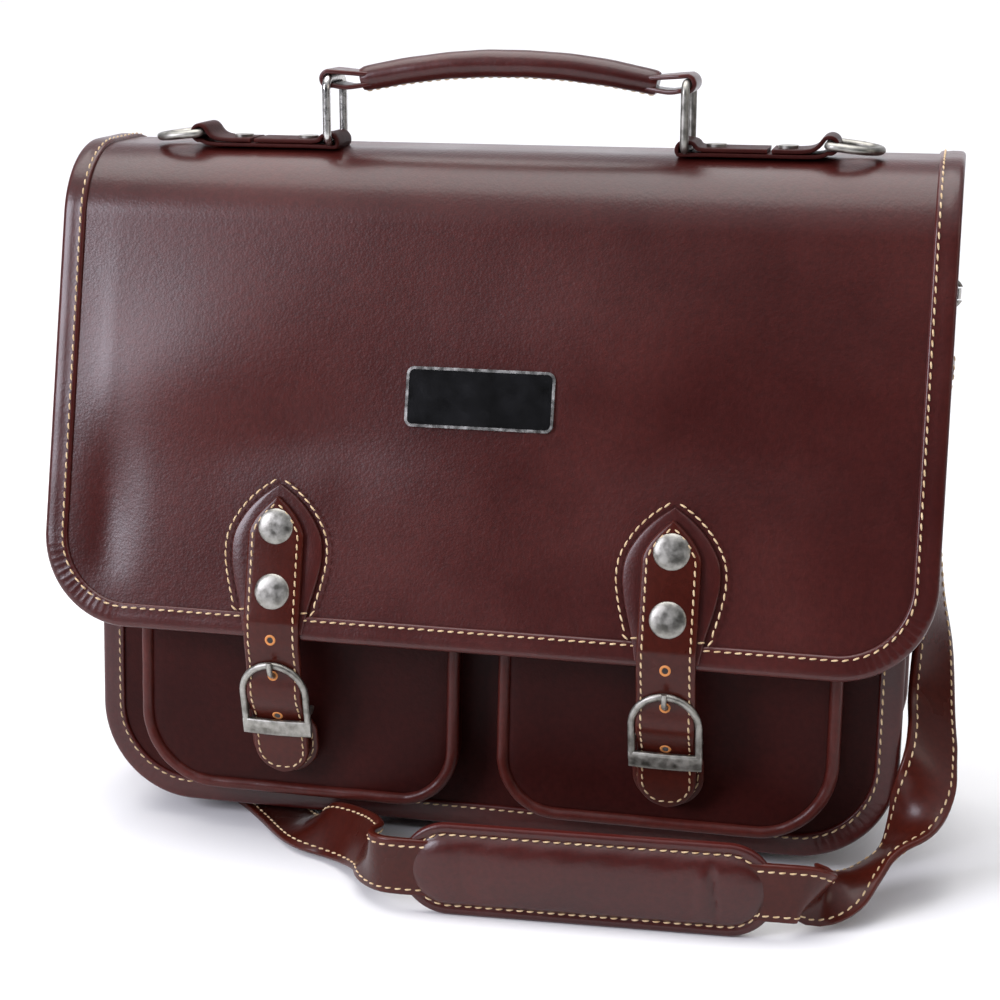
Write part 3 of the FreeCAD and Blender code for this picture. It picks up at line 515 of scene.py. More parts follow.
def tray_grid(x0, x1, foot, top, r0, r1, columns, row_step):
    """Rows of points that fill a panel with rounded lower corners: x and up arrays."""
    r = max(r0, r1)
    turn = np.linspace(0, math.pi / 2, 14)[:-1]
    high = np.linspace(foot + r, top, max(3, int((top - foot - r) / row_step)))
    ups = np.concatenate([foot + r * (1 - np.cos(turn)), high])

    def cut(radius, rise):
        """How far a round corner draws the side in."""
        return radius - math.sqrt(max(0, radius**2 - (radius - rise) ** 2)) if rise < radius else 0

    rows = [np.linspace(x0 + cut(r0, up - foot), x1 - cut(r1, up - foot), columns) for up in ups]
    return np.array(rows), np.repeat(ups[:, None], columns, 1)


def panel(name, surface, shape, thickness, material, columns, row_step):
    x, up = tray_grid(*shape, columns, row_step)
    return slab(name, surface(x, up, 0), surface(x, up, -thickness), material, LINING)


def folded_edge(name, surface, line, thickness):
    """A strip folded round the edge of a sheet: front flange, rounded nose, back flange."""
    w = BINDING_WIDTH
    h = BINDING_HEIGHT
    half = [(w, 0.1 * h), (w - 0.3 * MM, 0.75 * h), (w - 1.2 * MM, 0.98 * h)]
    half += [(w - 2.6 * MM, 0.82 * h), (w * 0.5, 1.0 * h), (2.2 * MM, 0.98 * h)]
    half += [(1.0 * MM, 0.78 * h), (0.3 * MM, 0.3 * h), (0, -0.4 * h)]
    back = [(a, -thickness - o) for a, o in half[::-1]]
    run = np.arange(len(line))
    turning = np.abs(line[:, 2] * line[:, 3]) * 2
    ripple = 1 + 0.12 * turning * np.sin(run * 2.1) + 0.05 * np.sin(run * 0.37)
    rings = [surface(*drawn_in(line, a), o * ripple if o > 0 else o) for a, o in half + back]
    return tube_mesh(name, np.stack(rings, 1), BURGUNDY, sharp=60)


def wall(name, surface, line, inset, thickness, depths, sink, material, lining=None):
    """A strip that follows an outline and stands across a sheet, such as a bag's side."""
    grids = []
    for t in (inset, inset + thickness):
        rows = [surface(*drawn_in(line, t + sink(line, depth)), depth) for depth in depths]
        grids.append(np.stack(rows, 1))
    return slab(name, *grids, material, lining)


# ---- The bag's sheets as surfaces: x across, up along, out of the face ----

FLAP_TILT = math.radians(15.2)
BODY_TILT = math.radians(5.26)
CLOSURE_TILT = math.radians(-11)
FLAP_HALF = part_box("flap_front_binding")[1].x
PANEL_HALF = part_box("front_binding")[1].x
FRONT_HEIGHT = 256 * MM
CREST_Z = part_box("flap_top_panel")[1].z
BASE_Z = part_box("gusset")[0].z
BACK_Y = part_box("back_panel")[1].y
BACK_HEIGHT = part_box("back_panel")[1].z - BASE_Z
FRONT_FOOT_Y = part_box("front_binding")[0].y + BINDING_HEIGHT * math.cos(BODY_TILT)
FLAP_CORNER_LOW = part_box("flap_front_binding")[0]
FLAP_EDGE_Y = FLAP_CORNER_LOW.y + BINDING_HEIGHT * math.cos(FLAP_TILT)
FLAP_EDGE_Z = FLAP_CORNER_LOW.z + (FLAP_SHELL + BINDING_HEIGHT) * math.sin(FLAP_TILT)


def leaning(origin, tilt):
    """A flat sheet that leans back by tilt from its foot."""
    lean, rise = math.sin(tilt), math.cos(tilt)
    ways = np.array([(1, 0, 0), (0, lean, rise), (0, -rise, lean)])

    def surface(x, up, out):
        return np.array(origin) + np.stack(spread(x, up, out), -1) @ ways

    return surface


front = leaning((0, FRONT_FOOT_Y, BASE_Z), BODY_TILT)


def back(x, up, out):
    x, up, out = spread(x, up, out)
    return np.stack([x, BACK_Y + out, BASE_Z + up], -1)


def body(x, up, depth):
    """Points between the front and back panels: depth runs from 0 at the front to 1 at the back."""
    x, up, depth = spread(x, up, depth)
    seam = PANEL + 1.5 * MM
    fore = FRONT_FOOT_Y + up * math.tan(BODY_TILT) + seam / math.cos(BODY_TILT)
    return np.stack([x, fore + (BACK_Y - seam - fore) * depth, BASE_Z + up], -1)


class Profile:
    """A curved sheet's outer line in the YZ plane: up is the length along it."""

    def __init__(self, line):
        self.line = line
        self.run = run_of(line)
        self.normal = heading(line)[:, ::-1] * (-1, 1)

    def __call__(self, x, up, out):
        x, up, out = spread(x, up, out)
        point, normal = (sample(up, self.run, table) for table in (self.line, self.normal))
        return np.concatenate([x[..., None], point + out[..., None] * normal], -1)


def flap_line():
    """From the flap's lower edge up its face, over the crest and down to the seam on the back."""
    normal = np.array((-math.cos(FLAP_TILT), math.sin(FLAP_TILT)))
    edge = np.array((FLAP_EDGE_Y, FLAP_EDGE_Z))
    roll_z = CREST_Z - FRONT_ROLL
    roll_y = (normal @ edge - FRONT_ROLL - normal[1] * roll_z) / normal[0]
    turn = np.linspace(FLAP_TILT, math.pi / 2, 30)
    roll = np.stack([roll_y - FRONT_ROLL * np.cos(turn), roll_z + FRONT_ROLL * np.sin(turn)], 1)
    face = edge + (roll[0] - edge) * np.linspace(0, 1, 60, endpoint=False)[:, None]
    rear_y = BACK_Y - REAR_ROLL
    flat = np.linspace(0, 1, 12, endpoint=False)[1:, None]
    crest = np.array((roll_y, CREST_Z)) + flat * (rear_y - roll_y, 0)
    turn = np.linspace(math.pi / 2, 0, 24)
    rear = np.stack([rear_y + REAR_ROLL * np.cos(turn), CREST_Z - REAR_ROLL + REAR_ROLL * np.sin(turn)], 1)
    sewn = np.array([(2.8, -32.8), (3.9, -38.8), (4.2, -44.3), (4.2, -62.3)]) * MM
    return Profile(np.concatenate([face, roll, crest, rear, sewn + (BACK_Y, CREST_Z)]))


FLAP_LINE = flap_line()
FLAP_END = FLAP_LINE.run[-1]
ON_CREST = np.isclose(FLAP_LINE.line[:, 1], CREST_Z)
SPLIT = np.interp(12 * MM, FLAP_LINE.line[ON_CREST, 0], FLAP_LINE.run[ON_CREST])
REAR_START = SPLIT + 12 * MM
YOKE_HALF = 181 * MM
CLOSURE_X = abs(joint_at("right_closure_hinge").x)


SWELLS = (  # height, then the middle and width across, then up, in mm
    (2.0, -122, 62, 118, 44),
    (-2.2, -78, 52, 84, 20),
    (-1.9, -164, 13, 52, 34),
    (1.3, 66, 74, 132, 36),
    (-1.4, 118, 66, 88, 24),
)


def flap_relief(x, up):
    """The soft hollows and swells of a used flap; none under its plate, patches and edges."""
    edge = np.clip(np.minimum(FLAP_HALF - np.abs(x), up) / (26 * MM), 0, 1)
    beside_patch = (np.abs(x) - CLOSURE_X) / (28 * MM)
    x, up = x / MM, up / MM
    closure = 1 - np.exp(-(beside_patch**4) - (up / 74) ** 8)
    plate = 1 - hump(x, 0, 44) ** 2 * hump(up, 106, 26) ** 2
    relief = 0.35 * np.sin(x / 23 + 2 * np.sin(up / 41)) * hump(up, 100, 60)
    for high, middle, width, middle_up, width_up in SWELLS:
        relief += high * hump(x, middle, width) * hump(up, middle_up, width_up)
    return relief * MM * edge**1.5 * plate * closure


def flap(x, up, out):
    """The flap's outer face, narrowing behind the crest to the width of the back."""
    x, up, out = spread(x, up, out)
    t = np.clip((up - REAR_START) / (FLAP_END - 22 * MM - REAR_START), 0, 1)
    narrow = 1 - (1 - YOKE_HALF / FLAP_HALF) * ease(t)
    return FLAP_LINE(x * narrow, up, out + flap_relief(x, up))


def yoke(x, up, out):
    """The flap seen from its rear end: up starts at the seam on the back."""
    return flap(x, FLAP_END - np.asarray(up, float), out)


BEND_LOW = CREST_Z - 9.3 * MM
REAR_BEND = ("bag_body", "flap_top", (0, BACK_Y, CREST_Z - 32.3 * MM), (0, BACK_Y - 6 * MM, BEND_LOW))
FRONT_BEND = ("flap_top", "flap_front", (0, -25 * MM, BEND_LOW), (0, -47 * MM, CREST_Z - 54.3 * MM))


# ---- Flap ----


def make_flap():
    half = FLAP_HALF - SHEET_INSET
    length = FLAP_END - SPLIT
    shape = (-half, half, SHEET_INSET, SPLIT, FLAP_CORNER, FLAP_CORNER)
    skin = panel("flap_skin", flap, shape, FLAP_SHELL, BURGUNDY, 140, 2.2 * MM)
    settle(skin, FRONT_BEND, ["flap_front_panel"], "burgundy_leather")
    shape = (-half, half, SHEET_INSET, length, REAR_CORNER, REAR_CORNER)
    skin = panel("flap_rear_skin", yoke, shape, REAR_SHELL, BURGUNDY, 110, 2.2 * MM)
    settle(skin, REAR_BEND, ["flap_top_panel"], "burgundy_leather")
    for name, surface, top, r, shell, bend, node in (
        ("flap_edge", flap, SPLIT, FLAP_CORNER, FLAP_SHELL, FRONT_BEND, "flap_front_binding"),
        ("flap_rear_edge", yoke, length, REAR_CORNER, REAR_SHELL, REAR_BEND, "flap_top_binding"),
    ):
        line = u_line(-FLAP_HALF, FLAP_HALF, 0, top, r, r, 2 * MM)
        settle(folded_edge(name, surface, line, shell), bend, [node], "burgundy_leather")
        seam = drawn_in(line, STITCH_INSET)
        sew(f"{name}_stitches", surface, *seam, BINDING_SEAM, bend)
        if name == "flap_edge":
            sew(f"{name}_inner_stitches", surface, *seam, -shell - BINDING_SEAM, bend, -1)
    x = np.linspace(-172 * MM, 172 * MM, 160)
    for up in (15 * MM, 19.5 * MM):
        sew(f"yoke_stitches_{round(up * 1e4)}", yoke, x, up, 0, REAR_BEND)


# ---- Body ----


def body_panel(name, surface, height):
    """A panel of the body with its folded, stitched edge strip."""
    foot = 0.6 * MM
    half = PANEL_HALF - SHEET_INSET
    shape = (-half, half, foot + SHEET_INSET, height, BODY_CORNER, BODY_CORNER)

    def eased(x, up, out):
        return surface(x, up, out + 0.5 * MM * hump(x, 0, 0.1) * hump(up, 0.12, 0.07))

    skin = panel(f"{name}_skin", eased, shape, PANEL, DARK, 80, 3.5 * MM)
    settle(skin, "bag_body", [f"{name}_panel"], "dark_leather")
    line = u_line(-PANEL_HALF, PANEL_HALF, foot, height, BODY_CORNER, BODY_CORNER, 2.2 * MM)
    edge = folded_edge(f"{name}_edge", surface, line, PANEL)
    settle(edge, "bag_body", [f"{name}_binding"], "burgundy_leather")
    sew(f"{name}_stitches", surface, *drawn_in(line, STITCH_INSET), BINDING_SEAM, "bag_body")
    x = np.linspace(12 * MM - PANEL_HALF, PANEL_HALF - 12 * MM, 120)
    sew(f"{name}_hem_stitches", surface, x, height - 6 * MM, 0, "bag_body")


def gusset_sink(outline, depth):
    """The sides fall in a little below the rings; the seams' lips turn out."""
    x, up = outline[:, 0], outline[:, 1]
    side = np.clip((np.abs(x) - 0.15) / 0.02, 0, 1)
    inward = math.sin(math.pi * depth)
    fold = 3.0 * MM * inward**2 * hump(up, 0.125, 0.06)
    crease = 0.5 * MM * inward * np.sin(up / (11 * MM) + 5 * depth) * hump(up, 0.1, 0.06)
    lip = 1.0 * MM * (hump(depth, 0, 0.03) + hump(depth, 1, 0.03))
    return (fold + crease) * side - lip + 0.6 * MM


def make_divider():
    half, foot, top, corner = 168 * MM, 6 * MM, 236 * MM, 40 * MM

    def padded(x, up, out):
        """The divider's faces swell between its edges."""
        x, up, out = spread(x, up, out)
        near = np.minimum(half - np.abs(x), np.minimum(up - foot, top - up)) / (9 * MM)
        y = 11.5 * MM + out * (0.35 + 0.65 * np.sqrt(np.clip(near, 0, 1)))
        return np.stack([x, y, BASE_Z + up], -1)

    x, up = tray_grid(-half, half, foot, top, corner, corner, 70, 4 * MM)
    pad = slab("divider_pad", padded(x, up, -1.8 * MM), padded(x, up, 1.8 * MM), LINING)
    settle(pad, "bag_body", ["divider"], "lining_cloth")


def make_body():
    body_panel("front", front, FRONT_HEIGHT)
    body_panel("back", back, BACK_HEIGHT)
    line = u_line(-GUSSET_HALF, GUSSET_HALF, 0, 260 * MM, 43 * MM, 43 * MM, 4 * MM)
    lips = np.array([0, 0.015, 0.035, 0.06])
    depths = np.concatenate([lips, np.linspace(0.1, 0.9, 17), 1 - lips[::-1]])
    side = wall("gusset_skin", body, line, 0, SOFT, depths, gusset_sink, DARK, LINING)
    settle(side, "bag_body", ["gusset"], "dark_leather")
    inset = SOFT + 0.3 * MM
    cloth = wall("lining_cloth", body, line, inset, 0.6 * MM, depths[2:-2], gusset_sink, LINING)
    settle(cloth, "bag_body", ["lining"], "lining_cloth")
    make_divider()


def pocket(side):
    """A face, a side wall and a piping cord round their seam, all narrower towards the middle."""
    x0, x1, foot, top, r0, r1 = np.array((8.6, 155.8, 11.85, 168, 27, 35)) * MM
    face_out = 14.6 * MM
    cord_out = 13.2 * MM
    wall_top = 10.6 * MM
    inset = 3.6 * MM

    def sheet(x, up, out):
        return front(SIDES[side] * np.asarray(x, float), up, out)

    def sink(outline, depth):
        return 1.2 * MM * math.sin(math.pi * depth / wall_top)

    line = u_line(x0, x1, foot, top, r0, r1, 2 * MM)
    x, up = tray_grid(x0 + inset, x1 - inset, foot + inset, top, r0 - inset, r1 - inset, 70, 3 * MM)
    near = np.minimum(np.minimum(x - x[:, :1], x[:, -1:] - x), up - up[0, 0])
    high = face_out - 1.5 * MM * np.exp(-near / (2.2 * MM))
    high += 0.9 * MM * hump(x, 70 * MM, 40 * MM) * hump(up, 0.115, 0.04) * (1 - np.exp(-near / 0.01))
    face = slab(f"{side}_pocket_front", sheet(x, up, high), sheet(x, up, high - SOFT), DARK, LINING)
    settle(face, "bag_body", [f"{side}_pocket_face"], "dark_leather")
    depths = np.linspace(0.1 * MM, wall_top, 9)
    rim = wall(f"{side}_pocket_side", sheet, line, 1.9 * MM, SOFT, depths, sink, DARK, LINING)
    settle(rim, "bag_body", [f"{side}_pocket_gusset"], "dark_leather")
    seam = drawn_in(line, PIPING_R)
    wobble = 0.12 * MM * np.sin(np.arange(len(line)) * 0.7)
    cord = sheet(*seam, cord_out + wobble)
    cord = wire(f"{side}_piping", cord, PIPING_R, TRIM, False, (0, -1, 0.1), 20)
    settle(cord, "bag_body", [f"{side}_pocket_piping"], "trim_leather")
    x = np.linspace(14 * MM, 150 * MM, 50)
    sew(f"{side}_pocket_hem", sheet, x, 163 * MM, face_out, "bag_body")


def side_bar(side):
    """How far out and how high the middle of a side ring's straight bar is."""
    low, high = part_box(f"{side}_side_tab")
    reach = 4.3 * MM
    return max(abs(low.x), abs(high.x)) - reach, high.z - reach


def around(x, z, radius, start, end, count=14):
    turn = np.radians(np.linspace(start, end, count))
    return [(x + radius * math.cos(a), z + radius * math.sin(a)) for a in turn]


def beside(x, z, *offsets):
    """Points at offsets, in mm, from a place."""
    return [(x + a * MM, z + b * MM) for a, b in offsets]


def loop_ribbon(points, y):
    """A strap whose path lies in the XZ plane and whose width lies along Y."""
    x, z = smooth_line(points).T
    line = np.stack([x, np.full(len(x), y), z], 1)
    return Ribbon(line, heading(line)[:, ::-1] * (-1, 0, 1))


def side_hardware(side):
    """The strip on the bag's side that holds the shoulder strap's ring."""
    x, z = side_bar(side)
    foot_x = min(abs(corner.x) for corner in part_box(f"{side}_side_tab")) + 0.9 * MM
    path = beside(foot_x, z, (0, -38), (0, -26), (0, -14), (0.3, -6))
    path += around(x, z, 3.0 * MM, 180, -135, 15)
    path += beside(foot_x, z, (1.9, -8.5), (1.7, -16), (1.7, -34))
    ribbon = loop_ribbon([(SIDES[side] * a, b) for a, b in path], 0)
    l = np.linspace(0, ribbon.length, 90)
    tab = strip(f"{side}_tab", ribbon, l, 11 * MM, -0.8 * MM, 0.8 * MM, BURGUNDY)
    settle(tab, "bag_body", [f"{side}_side_tab"], "burgundy_leather")


def dee_line(radius, straight):
    """A D's middle line: a bar across the origin and a bow below it, as across and down."""
    bow = np.linspace(0, math.pi, 30)
    bow = np.stack([radius * np.cos(bow), straight + radius * np.sin(bow)], 1)
    soft = 2.2 * MM
    right = [(radius - soft, 0), (radius - 0.3 * soft, 0.3 * soft), (radius, soft)]
    left = [(-a, d) for a, d in right[::-1]]
    bar = [(a, 0) for a in np.linspace(-radius + soft, radius - soft, 8)[1:-1]]
    return np.concatenate([right, bow, left, bar])


def hanging(side, x, y, z, line, tilt):
    """A ring's line, hung from its bar and tilted outwards from straight down."""
    out = SIDES[side] * (x + line[:, 1] * math.sin(tilt))
    return np.stack([out, y + line[:, 0], z - line[:, 1] * math.cos(tilt)], 1)


def side_ring(side):
    x, z = side_bar(side)
    tilt = math.radians(11)
    points = hanging(side, x, 0, z, dee_line(15 * MM, 0), tilt)
    up = (SIDES[side] * math.cos(tilt), 0, math.sin(tilt))
    ring = wire(f"{side}_strap_ring", points, 1.6 * MM, PEWTER, True, up)
    settle(ring, "bag_body", [f"{side}_side_ring"], "pewter")


# ---- Closures ----


def leaf(stations, half):
    """The outline of a symmetric strip: across, along, and the way inwards."""
    across = np.concatenate([half, -half[::-1]])
    along = np.concatenate([stations, stations[::-1]])
    tangent = heading(np.stack([across, along], 1))
    return np.stack([across, along, -tangent[:, 1], tangent[:, 0]], 1)


def leaf_stitches(name, surface, line, inset, out, on):
    """A stitch row that keeps its distance from a strip's edge."""
    across = line[:, 0] + inset * line[:, 2]
    kept = line[across * np.sign(line[:, 0]) > 0.2 * MM]
    sew(name, surface, *drawn_in(kept, inset), out, on, pitch=FINE_PITCH)


def round_end(distance, radius):
    """Half the width of a round end at a distance from its tip."""
    d = np.clip(distance, 0, radius)
    return np.sqrt(radius**2 - (radius - d) ** 2)


def closure_patch(side, on_flap):
    """The teardrop patch under the strap."""
    up = np.concatenate([np.linspace(2.5, 60, 60), np.linspace(60, 66.2, 24)[1:]]) * MM
    points = [(2.5, 13.4), (14, 15.6), (26, 18.8), (36, 20.3), (45, 19.2), (54, 14.2)]
    heights, widths = smooth_line(points + [(61, 7.6), (66.2, 0.3)]).T * MM
    half = np.interp(up, heights, widths)
    patch = strip(f"{side}_patch", on_flap, up, half, 0.05 * MM, PATCH_THICK, BURGUNDY, 0.8 * MM)
    settle(patch, "flap_front", [f"{side}_strap_patch"], "trim_leather")
    line = leaf(up[::-1], half[::-1])
    line = line[line[:, 1] > 12 * MM]
    leaf_stitches(f"{side}_patch_stitches", on_flap, line, 2.4 * MM, PATCH_THICK, "flap_front")


def closure_strap(side, on_flap, sheet):
    """The strap: pointed above, over the flap's edge, through the buckle, round below."""
    ups = np.linspace(61, 7, 28) * MM
    upper = on_flap(0, ups, PATCH_THICK + STRAP_THICK / 2 + 0.1 * MM)
    downs = np.concatenate([np.linspace(-5, -20, 12), np.linspace(-21, -69, 44)]) * MM
    swell = 3.1 * MM * hump(downs, -28.5 * MM, 7.5 * MM) - 0.8 * MM * hump(downs, -45 * MM, 6 * MM)
    lower = sheet(0, downs, swell - 0.2 * MM - STRAP_THICK / 2)
    facing = np.tile((0.0, -1.0, 0.0), (len(downs), 1))
    strap = Ribbon(np.vstack([upper, lower]), np.vstack([outward(on_flap, 0, ups), facing]))
    end = strap.length
    tip = 12 * MM
    point = 20 * MM
    spans = [np.linspace(0, point, 30), np.linspace(point, end - tip, 90), np.linspace(end - tip, end, 20)]
    l = np.concatenate([spans[0], spans[1][1:], spans[2][1:]])
    half = STRAP_HALF * (1 - (1 - np.clip(l / (19 * MM), 0, 1)) ** 1.9)
    half = np.minimum(half, round_end(end - l, STRAP_HALF - 0.3 * MM)) + 0.15 * MM
    half = np.where(end - l < tip, half, np.minimum(half, STRAP_HALF))
    t = STRAP_THICK / 2
    bend = ("flap_front", f"{side}_closure", tuple(sheet(0, 5 * MM, 0)), tuple(sheet(0, -5 * MM, 0)))
    band = strip(f"{side}_strap", strap, l, half, -t, t, STRAPPING, 0.9 * MM, 0.35 * MM)
    settle(band, bend, [f"{side}_strap_upper", f"{side}_strap_lower"], "trim_leather")
    leaf_stitches(f"{side}_strap_stitches", strap, leaf(l, half), 2.3 * MM, t, bend)
    rim = [(1.25, -0.4), (1.3, 0.1), (1.6, 0.28), (2.1, 0.22), (2.5, -0.05), (2.6, -0.5)]
    # each hole gets a raw leather rim and a near-black disc inside it: the disc is painted shade, the
    # shadow inside the hole
    dark = [(0.2, 0.1), (1.3, 0.1), (1.3, -0.3), (0.2, -0.3)]
    for k, down in enumerate((1.8, 18.8, 39.4)):
        at = end - (69 - down) * MM
        spot = strap(0, at, t + 0.3 * MM)
        on = "flap_front" if k == 0 else f"{side}_closure"
        settle(lathe(f"{side}_hole_rim_{k}", rim, spot, outward(strap, 0, at), RAW, 24), on)
        settle(lathe(f"{side}_hole_{k}", dark, spot, outward(strap, 0, at), HOLE_SHADOW, 20), on)


def closure_tab(side, sheet):
    """The tab that hangs from the buckle's bar."""
    path = [(3.7, -46), (3.5, -41), (3.8, -37.5), (5.4, -35.8), (7.1, -37.4), (7.2, -42), (6.7, -50)]
    path = smooth_line(path + [(6.5, -61), (6.5, -72)]) * MM
    points = sheet(0, path[:, 1], -path[:, 0])
    tab = Ribbon(points, np.cross((1.0, 0, 0), heading(points)))
    l = np.linspace(0, tab.length, 110)
    height = np.interp(l, tab.l, path[:, 1])
    grow = ease(np.clip((-42 * MM - height) / (8 * MM), 0, 1))
    half = 11.8 * MM + 3.3 * MM * grow * (l > 0.3 * tab.length)
    half = np.minimum(half, round_end(tab.length - l, 15 * MM) + 0.15 * MM)
    piece = strip(f"{side}_tab_strip", tab, l, half, -0.9 * MM, 0.9 * MM, STRAPPING, 0.6 * MM)
    settle(piece, f"{side}_closure", [f"{side}_closure_tab"], "trim_leather")
    line = leaf(l, half)
    line = line[line[:, 1] > tab.length - 22 * MM]
    over = -0.95 * MM * np.sign(outward(tab, 0, tab.length)[1])
    leaf_stitches(f"{side}_tab_stitches", tab, line, 2.3 * MM, over, f"{side}_closure")


def buckle(side, sheet):
    """An arched frame, a flat keeper and a bar behind, with its prong."""
    on = f"{side}_closure"
    arch_r = 14.1 * MM
    bow = np.linspace(math.pi, 0, 28)
    across = np.concatenate([np.full(6, -arch_r), arch_r * np.cos(bow), np.full(6, arch_r)])
    legs = np.linspace(-45, -29, 6) * MM
    along = np.concatenate([legs, -28 * MM + arch_r * np.sin(bow), legs[::-1]])
    arch = sheet(across, along, 1.5 * MM)
    arch = wire(f"{side}_buckle", arch, 1.55 * MM, PEWTER, False, (0, 1, 0), 16, 0.9)
    settle(arch, on, [f"{side}_buckle_frame"], "pewter")
    reach = 15.3 * MM
    run = np.linspace(-reach, reach, 25)
    bowed = 0.7 * MM * (1 - (run / reach) ** 2)
    section = strap_section(3.75 * MM, 0.4 * MM, 2.6 * MM, 0.7 * MM, 0.25 * MM)
    rings = [sheet(a, -44.7 * MM + section[:, 0], section[:, 1] + b) for a, b in zip(run, bowed)]
    settle(tube_mesh(f"{side}_keeper", np.array(rings), PEWTER), on)
    bar_up, bar_out = -38 * MM, -5.4 * MM
    bar = sheet(np.linspace(-arch_r, arch_r, 12), bar_up, bar_out)
    cheeks = [sheet(s * arch_r, bar_up, np.linspace(1.2 * MM, bar_out, 5)) for s in (-1, 1)]
    bar = np.concatenate([cheeks[0], bar[1:-1], cheeks[1][::-1]])
    settle(wire(f"{side}_buckle_bar", bar, 1.2 * MM, PEWTER, False, (0, 0, 1), 12), on)
    pin = [(4.0, -36.4), (4.0, -26), (3.2, -21.8), (-0.8, -19.4), (-3.6, -17), (-4.2, -14), (-3.9, -11.2)]
    pin = smooth_line(pin) * MM
    pin = sheet(0, pin[:, 1], -pin[:, 0])
    pin = wire(f"{side}_buckle_pin", pin, 1.2 * MM, PEWTER, False, (1, 0, 0), 12)
    settle(pin, on, [f"{side}_prong"], "pewter")


def closure_rivets(side, on_flap):
    dome = [(0.2, 1.75), (2.5, 1.7), (4.6, 1.5), (6.2, 1.15), (7.2, 0.7), (7.7, 0.3), (7.8, 0), (7.3, -0.4)]
    disc = [(0.2, 0.9), (4.6, 0.8), (5.4, 0.4), (5.5, 0.0)]
    for k, height in enumerate((48.1 * MM, 20.2 * MM)):
        axis = outward(on_flap, 0, height)
        spot = on_flap(0, height, PATCH_THICK + STRAP_THICK + 0.1 * MM)
        head = lathe(f"{side}_rivet_{k}", dome, spot, axis, PEWTER, 48)
        settle(head, "flap_front", [f"{side}_strap_rivets"] if k == 0 else [])
        spot = on_flap(0, height, -FLAP_SHELL)
        settle(lathe(f"{side}_rivet_washer_{k}", disc, spot, -axis, PEWTER, 32), "flap_front")


def closure(side):
    sheet = leaning(tuple(joint_at(f"{side}_closure_hinge")), CLOSURE_TILT)

    def on_flap(a, up, out):
        return flap(SIDES[side] * CLOSURE_X + np.asarray(a, float), up, out)

    closure_patch(side, on_flap)
    closure_strap(side, on_flap, sheet)
    closure_tab(side, sheet)
    buckle(side, sheet)
    closure_rivets(side, on_flap)


# ---- Handle and top rings ----

HANDLE_Y = joint_at("handle_hinge").y
RING_X = abs(joint_at("left_handle_ring_hinge").x)
RING_LOW = joint_at("left_handle_ring_hinge").z
RING_HIGH = joint_at("handle_hinge").z
DEE = joint_at("right_dee_ring_hinge")
RING_HALF = 12.1 * MM
CHAPE_HALF = 9.9 * MM
GRIP_REACH = 64.6 * MM


def make_grip():
    """A sewn tube that arches a little, thicker in the middle, with a seam below."""
    x = np.linspace(-1, 1, 90)
    arch = 1 - x**2
    z = RING_HIGH - 0.6 * MM + 7.5 * MM * arch
    line = np.stack([x * GRIP_REACH, np.full(90, HANDLE_Y), z], 1)
    over = np.cross((0, 1.0, 0), heading(line))
    over *= np.sign(over[:, 2:3])
    angle = turn_steps(40)[:, 0]
    taper = np.clip((1 - np.abs(x)) / 0.03, 0, 1)
    size = (5.35 + 0.55 * arch) * MM * (0.9 + 0.1 * np.sqrt(taper))
    u = x[:, None]
    wave = 1 + 0.012 * np.sin(9 * u + 2 * angle) + 0.01 * np.sin(23 * u - angle)
    girth = size[:, None] * wave * (1 - 0.10 * hump(angle, 1.5 * math.pi, 0.16))
    across = (1.08 * girth * np.cos(angle))[..., None] * (0, 1.0, 0)
    rings = line[:, None] + across + (girth * np.sin(angle))[..., None] * over[:, None]
    settle(tube_mesh("grip", rings, BURGUNDY), "handle", ["handle_grip"], "burgundy_leather")
    seam = line - over * (size * 0.93)[:, None]
    settle(stitch_row("grip_stitches", seam, -over, 3.8 * MM), "handle")


def handle_loop(side):
    """The flat end of the handle's core, turned round its ring."""
    path = beside(GRIP_REACH, RING_HIGH, (-6, 1.6), (3, 2.4))
    path += around(RING_X, RING_HIGH, 3.2 * MM, 95, -120)
    path += beside(GRIP_REACH, RING_HIGH, (5, -3.6), (-6, -2.0))
    ribbon = loop_ribbon([(SIDES[side] * a, b) for a, b in path], HANDLE_Y)
    l = np.linspace(0, ribbon.length, 80)
    from_end = np.minimum(l, ribbon.length - l) / (16 * MM)
    half = (4.2 + 5.2 * np.clip(from_end, 0, 1) ** 0.8) * MM
    end = strip(f"{side}_handle_loop", ribbon, l, half, -0.95 * MM, 0.95 * MM, BURGUNDY, 0.6 * MM)
    settle(end, "handle", ["handle_core"] if side == "left" else [], "burgundy_leather")


def rounded_ring(width, height, corner):
    """A rectangle with round corners: across and up, from its middle."""
    line = []
    for k, (sx, sz) in enumerate(((1, 1), (-1, 1), (-1, -1), (1, -1))):
        x, z = sx * (width - corner), sz * (height - corner)
        line += around(x, z, corner, 90 * k, 90 * (k + 1), 7)
    closed = np.array(line + line[:1])
    run = run_of(closed)
    return sample(np.linspace(0, run[-1], 72, endpoint=False), run, closed)


def handle_ring(side):
    material, slot = (NICKEL, "bright_steel") if side == "left" else (PEWTER, "pewter")
    across, up = rounded_ring(RING_HALF, (RING_HIGH - RING_LOW) / 2, 4.2 * MM).T
    x = np.full(len(up), SIDES[side] * RING_X)
    points = np.stack([x, HANDLE_Y + across, (RING_LOW + RING_HIGH) / 2 + up], 1)
    piece = wire(f"{side}_ring", points, 2.0 * MM, material, True, (1, 0, 0), 16, 0.9)
    settle(piece, f"{side}_handle_ring", [f"{side}_handle_ring"], slot)


